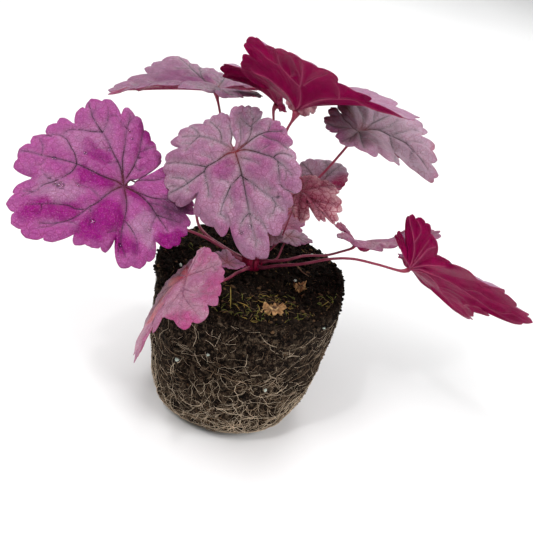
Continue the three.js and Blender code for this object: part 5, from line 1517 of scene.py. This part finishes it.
# %% Shrivelled leaves
def dried_leaf(name, x, y, radius, turn, node):
    """A disc whose edge is torn by noise in the angle, and whose height is folded along rays and crumpled."""
    rings, rays = 18, 90
    s = np.linspace(0, 1, rings + 1)[1:, None]
    a = np.arange(rays)[None] * 2 * np.pi / rays
    round_trip = np.stack([np.cos(a[0]), np.sin(a[0]), np.full(rays, turn)], 1)
    torn = 0.95 - 0.45 * np.abs(noise(round_trip, 0.34, 2)) - 0.3 * np.abs(noise(round_trip, 0.13, 6))
    torn = torn + 0.12 * np.sin(2 * a[0] + turn)
    px = x + radius * 1.25 * s * torn * np.cos(a + turn)
    py = y + radius * 1.0 * s * torn * np.sin(a + turn)
    spot = np.stack([px, py, np.full_like(px, 90)], -1).reshape(-1, 3)
    fold = 1.1 * s**1.5 * np.sin(9 * a + 4 * noise(round_trip, 0.7, 4)) + 1.4 * s**3 * np.sin(3 * a + turn)
    crease = np.abs(noise(spot, 2.2, 3)) * 1.3 + 0.6 * noise(spot, 4.0, 8) + fold.ravel()
    walk = walk_in(np.hypot(spot[:, 0], spot[:, 1]))
    ground = ball_point(walk, np.arctan2(spot[:, 1], spot[:, 0]), 0, 0.4)[0][:, 2]
    z = np.maximum(ground + 1.5 + crease, ground + 0.4) + 0.8 * np.repeat(1 - s[:, 0], rays)
    top = np.concatenate([np.c_[spot[:, :2], z], [[x, y, ground.mean() + 2.6]]])
    low = top - [0, 0, 0.3]
    count = len(top)
    row = np.arange(rings - 1)[:, None] * rays
    j = np.arange(rays)[None]
    k = (j + 1) % rays
    quads = np.stack([row + j, row + rays + j, row + rays + k, row + k], -1).reshape(-1, 4)
    j, k = j[0], k[0]
    tris = np.stack([np.full(rays, count - 1), j, k], 1)
    last = (rings - 1) * rays
    rim = np.stack([last + j, last + j + count, last + k + count, last + k], 1)
    fields = {"share": np.tile(np.concatenate([np.repeat(s[:, 0], rays), [0]]), 2),
              "turn": np.tile(np.concatenate([np.tile(np.arange(rays) / rays, rings), [0]]), 2)}
    mesh = make_mesh(name, np.concatenate([top, low]), np.concatenate([quads, quads[:, ::-1] + count, rim]),
                     np.concatenate([tris, tris[:, ::-1] + count]), fields=fields)
    add_piece(name, mesh, DRIED_BROWN, "dried_leaf", node)


def dried_finish():
    """Tan tissue with a dark heart, dark rays and bleached edges."""
    f = Finish("dried brown", Roughness=0.85, Specular_IOR_Level=0.2)
    share = f.field("share")
    colour = f.blend(f.band(share, 0.2, 0.85), tint(62, 42, 32), tint(164, 124, 82))
    ray = f.math("ABSOLUTE", f.math("SINE", f.math("MULTIPLY", f.field("turn"), 47.0)))
    colour = f.blend(f.band(ray, 0.3, 0.0, 0, 0.7), colour, tint(58, 38, 28))
    colour = f.blend(f.band(f.grain(1.2, 4), 0.45, 0.7, 0, 0.8), colour, tint(98, 68, 44))
    colour = f.blend(f.band(f.grain(3.0, 2), 0.52, 0.75, 0, 0.8), colour, tint(206, 172, 122))
    return f.done(Base_Color=colour, Normal=f.bump(f.grain(0.8, 3), 0.5, 0.8))


DRIED_BROWN = dried_finish()
dried_leaf("dried_scrap_large", 17, -40, 7, 0.4, "dried_leaf_large")
dried_leaf("dried_scrap_small", 30, -13, 4.5, 1.1, "dried_leaf_small")
print("shrivelled leaves: 2")

# %% Perlite
def ground_point(x, y, lift=0.0):
    """The soil's top over a spot."""
    return ball_point(np.array([walk_in(np.hypot(x, y))]), np.array([math.atan2(y, x)]), lift)[0][0]


def perlite():
    """White grains: lumps at spots (x, y) on the top, and at (height, degrees round) in the side."""
    draw = np.random.default_rng(21)
    top = [(-38.3, -14.1), (26.7, -5.4), (-20, 30), (8, 40), (-44, 6), (34, 28), (-6, -20)]
    side = [(64, -104), (51, -124), (44, -63), (86, -36), (30, 20), (70, 80), (40, 150), (58, 200)]
    spots = [ground_point(x, y, 0.5) for x, y in top]
    spots += [ball_point(np.array([walk_at(z)]), np.radians([turn]), 0.3)[0][0] for z, turn in side]
    return lumps(np.array(spots), draw.uniform(0.8, 1.35, len(spots)), 8, 0.9)


f = Finish("perlite white", Roughness=0.8)
pits = f.grain(0.7, 3)
white = f.blend(f.band(pits, 0.4, 0.7), tint(176, 190, 178), tint(226, 232, 224))
grains = perlite()
add_shape("perlite_grains", grains, f.done(Base_Color=white, Normal=f.bump(pits, 0.4, 0.8)), "soil")
print("perlite grains:", len(grains[0]) // LUMP)

# %% Moss and grass
def blade_of_grass(start, end, width, rise, seed, colour):
    """A thin arched strip: a flattened tube whose middle is lifted."""
    s = np.linspace(0, 1, 8)[:, None]
    bow = np.random.default_rng(seed).normal(0, 0.7, 3) * np.linalg.norm(np.subtract(end, start)) * 0.25
    path = np.array(start) * (1 - s) + np.array(end) * s + bow * s * (1 - s) * 2
    path = path + np.array([0, 0, 1]) * rise * 4 * s * (1 - s)
    points, quads, tris, _ = tube(path, width * np.sin(np.pi * (0.12 + 0.82 * s[:, 0])) ** 0.7, 4)
    return points, quads, tris, {"shade": np.full(len(points), colour)}


# Grass keeps within this distance of the middle, in millimetres.
FAR = 51


def within(x, y):
    """The spot, pulled straight in to the rim when it lies beyond."""
    far = math.hypot(x, y)
    return np.array([x, y]) * FAR / far if far > FAR else (x, y)


def rim_grass(wisps, straws):
    """Wisps round a few places, the first sixty at the front rim; straws strewn all over; one tall blade."""
    draw = np.random.default_rng(33)
    shapes = []
    places = [(-8, -48), (-1, -47), (7, -43), (14, -30), (12, -48), (28, -34), (33, -39), (50, -16),
              (47, -23), (20, -30), (-18, -38), (2, -36), (-34, 28), (38, 32), (-28, 8)]
    for k in range(wisps):
        x, y = places[int(draw.integers(len(places)) if k > 60 else draw.integers(12))]
        x, y = within(x + draw.normal(0, 5.5), y + draw.normal(0, 2.6))
        a, long = draw.uniform(0, 2 * np.pi), draw.gamma(3, 0.85) + 0.9
        x2, y2 = within(x + long * math.cos(a), y + long * math.sin(a) * 0.7)
        start, end = ground_point(x, y, 0.2), ground_point(x2, y2, 0.3 + draw.uniform(0, 1.6))
        wide, rise = draw.uniform(0.06, 0.2), draw.uniform(0.1, 0.8)
        shapes.append(blade_of_grass(start, end, wide, rise, 100 + k, draw.random()))
    for k in range(straws):
        far, turn = 50 * math.sqrt(draw.random()), draw.uniform(0, 2 * np.pi)
        heading, long = draw.uniform(0, 2 * np.pi), draw.uniform(1, 4)
        x, y = far * math.cos(turn), far * math.sin(turn)
        x2, y2 = x + long * math.cos(heading), y + long * math.sin(heading)
        if 9 < far and math.hypot(x2, y2) < FAR:
            start, end = ground_point(x, y, 0.4), ground_point(x2, y2, draw.uniform(0.2, 1.2))
            wide = draw.uniform(0.05, 0.13)
            shapes.append(blade_of_grass(start, end, wide, 0.2, 700 + k, draw.uniform(0.5, 1)))
    foot, tip = ground_point(-5.6, -44, 0.2), np.add(ground_point(-8, -36, 0), [0, 3, 5.4])
    shapes.append(blade_of_grass(foot, tip, 0.34, 0.4, 7, 0.3))
    return shapes


f = Finish("moss green", Roughness=0.7, Subsurface_Weight=0.1, Subsurface_Scale=0.001)
shade = f.field("shade")
green = f.blend(f.band(shade, 0.25, 0.35), tint(98, 104, 32), tint(166, 138, 62))
green = f.blend(f.band(shade, 0.5, 0.6), green, tint(92, 68, 44))
blades = rim_grass(310, 170)
add_shape("rim_grass", join_shapes(blades), f.done(Base_Color=green), "soil")
print("blades of grass and moss:", len(blades))

# %% The twig
f = Finish("dry twig", Roughness=0.8)
bark = f.grain(1.2, 4)
brown = f.blend(f.band(bark, 0.4, 0.65), tint(96, 66, 50), tint(150, 116, 84))
knots = [(22, 10, 1.4), (26, 8, 2.4), (30, 4.5, 1.9), (34, 2, 0.8)]
twig = [ground_point(x, y, lift) for x, y, lift in knots]
twig = tube(smooth_path(twig, 24), np.linspace(0.5, 0.28, 25), 8)
add_shape("dry_twig", twig, f.done(Base_Color=brown, Normal=f.bump(bark, 0.3, 0.8)), "soil")
print("twig points:", len(twig[0]))

# %% [markdown]
# ## Camera, light and floor
# The camera looks down at the plant from the front at 31 degrees, rolled so that the stalks lean a
# little to the right. Its aim is turned slightly, so that the root ball's top sits left of the middle.

# %% Camera
VIEW = {"elevation": 31, "roll": 12, "distance": 520, "target": (0, 0, 94), "spot": (250, 267), "focal": 901,
        "size": 533}
SENSOR = 36


def aim(elevation, roll, distance, target, spot, focal, size):
    """Rolls the camera about its own axis, then moves its aim so that the target meets the spot."""
    e, q = math.radians(elevation), math.radians(roll)
    back = np.array([0, -math.cos(e), math.sin(e)])
    right, up = np.array([1.0, 0, 0]), np.cross([1.0, 0, 0], -back)
    right = right * math.cos(q) + up * math.sin(q)
    up = np.cross(right, -back)
    dx, dy = (spot[0] - size / 2) / focal, -(spot[1] - size / 2) / focal
    forward = unit(-back - right * dx - up * dy)
    right = unit(right - forward * (right @ forward))
    place = np.array(target) + back * distance
    return place, right, np.cross(right, forward), -forward


place, x_axis, y_axis, z_axis = aim(**VIEW)
camera = bpy.data.objects.new("camera", bpy.data.cameras.new("camera"))
bpy.context.scene.collection.objects.link(camera)
camera.data.sensor_width = SENSOR
camera.data.lens = SENSOR * VIEW["focal"] / VIEW["size"]
camera.data.clip_start = 0.01
matrix = np.eye(4)
matrix[:3, :4] = np.stack([x_axis, y_axis, z_axis, place * MM], 1)
camera.matrix_world = Matrix(matrix.tolist())
bpy.context.scene.camera = camera
print("lens:", round(camera.data.lens, 1), "mm")

# %% [markdown]
# Three large soft lights give mild shadows. A fourth, the sparkle, is tiny, so that each drop shows one
# bright point. The floor is one sheet that bends up far behind the plant and becomes the back wall.

# %% Soft studio light
MIDDLE = (0, 0, 0.15)


def softbox(name, place, size, watts):
    """A square light that faces the middle of the plant."""
    light = bpy.data.lights.new(name, "AREA")
    light.size, light.energy = size, watts
    lamp = bpy.data.objects.new(name, light)
    bpy.context.scene.collection.objects.link(lamp)
    lamp.location = place
    way = np.subtract(MIDDLE, place)
    lamp.rotation_euler = (math.acos(-way[2] / np.linalg.norm(way)), 0, math.atan2(-way[0], way[1]))


softbox("key", (-0.7, -0.5, 1.3), 0.7, 17.8)
softbox("fill", (1.1, -0.6, 1.1), 0.9, 16.5)
softbox("back", (0.2, 1.0, 0.9), 0.8, 8)
softbox("sparkle", (-0.35, -0.55, 1.1), 0.06, 1.5)
world = bpy.data.worlds.new("studio")
world.use_nodes = True
world.node_tree.nodes["Background"].inputs["Color"].default_value = (1, 1, 1, 1)
world.node_tree.nodes["Background"].inputs["Strength"].default_value = 0.295
bpy.context.scene.world = world
bpy.context.scene.view_settings.view_transform = "Standard"
print("lamps:", len(bpy.data.lights))

# %% A pale floor
f = Finish("floor", Roughness=0.9)
floor_colour = f.blend(f.band(f.grain(300, 2), 0.3, 0.7), (0.80, 0.80, 0.80), (0.84, 0.84, 0.84))
s = np.linspace(0, 1, 41)
curve = np.clip(s - 0.5, 0, 0.25) * 2 * np.pi
run = np.where(s < 0.5, -3000 + 9600 * s, 1800 + 900 * np.sin(curve))
rise = np.where(s < 0.5, 0, 900 * (1 - np.cos(curve)) + np.clip(s - 0.75, 0, 1) * 8000)
x = np.linspace(-4000, 4000, 9)
sheet = np.stack(np.broadcast_arrays(x[None], run[:, None], rise[:, None]), -1).reshape(-1, 3)
floor_quads = grid_quads(np.arange(len(sheet)).reshape(len(s), len(x)))
floor = bpy.data.objects.new("floor", make_mesh("floor", sheet, floor_quads))
bpy.context.scene.collection.objects.link(floor)
floor.data.materials.append(f.done(Base_Color=floor_colour))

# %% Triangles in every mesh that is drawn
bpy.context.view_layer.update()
drawn = [item.data for item in bpy.data.objects if item.type == "MESH" and not item.hide_render]
print("triangles:", sum(len(face.vertices) - 2 for mesh in drawn for face in mesh.polygons))
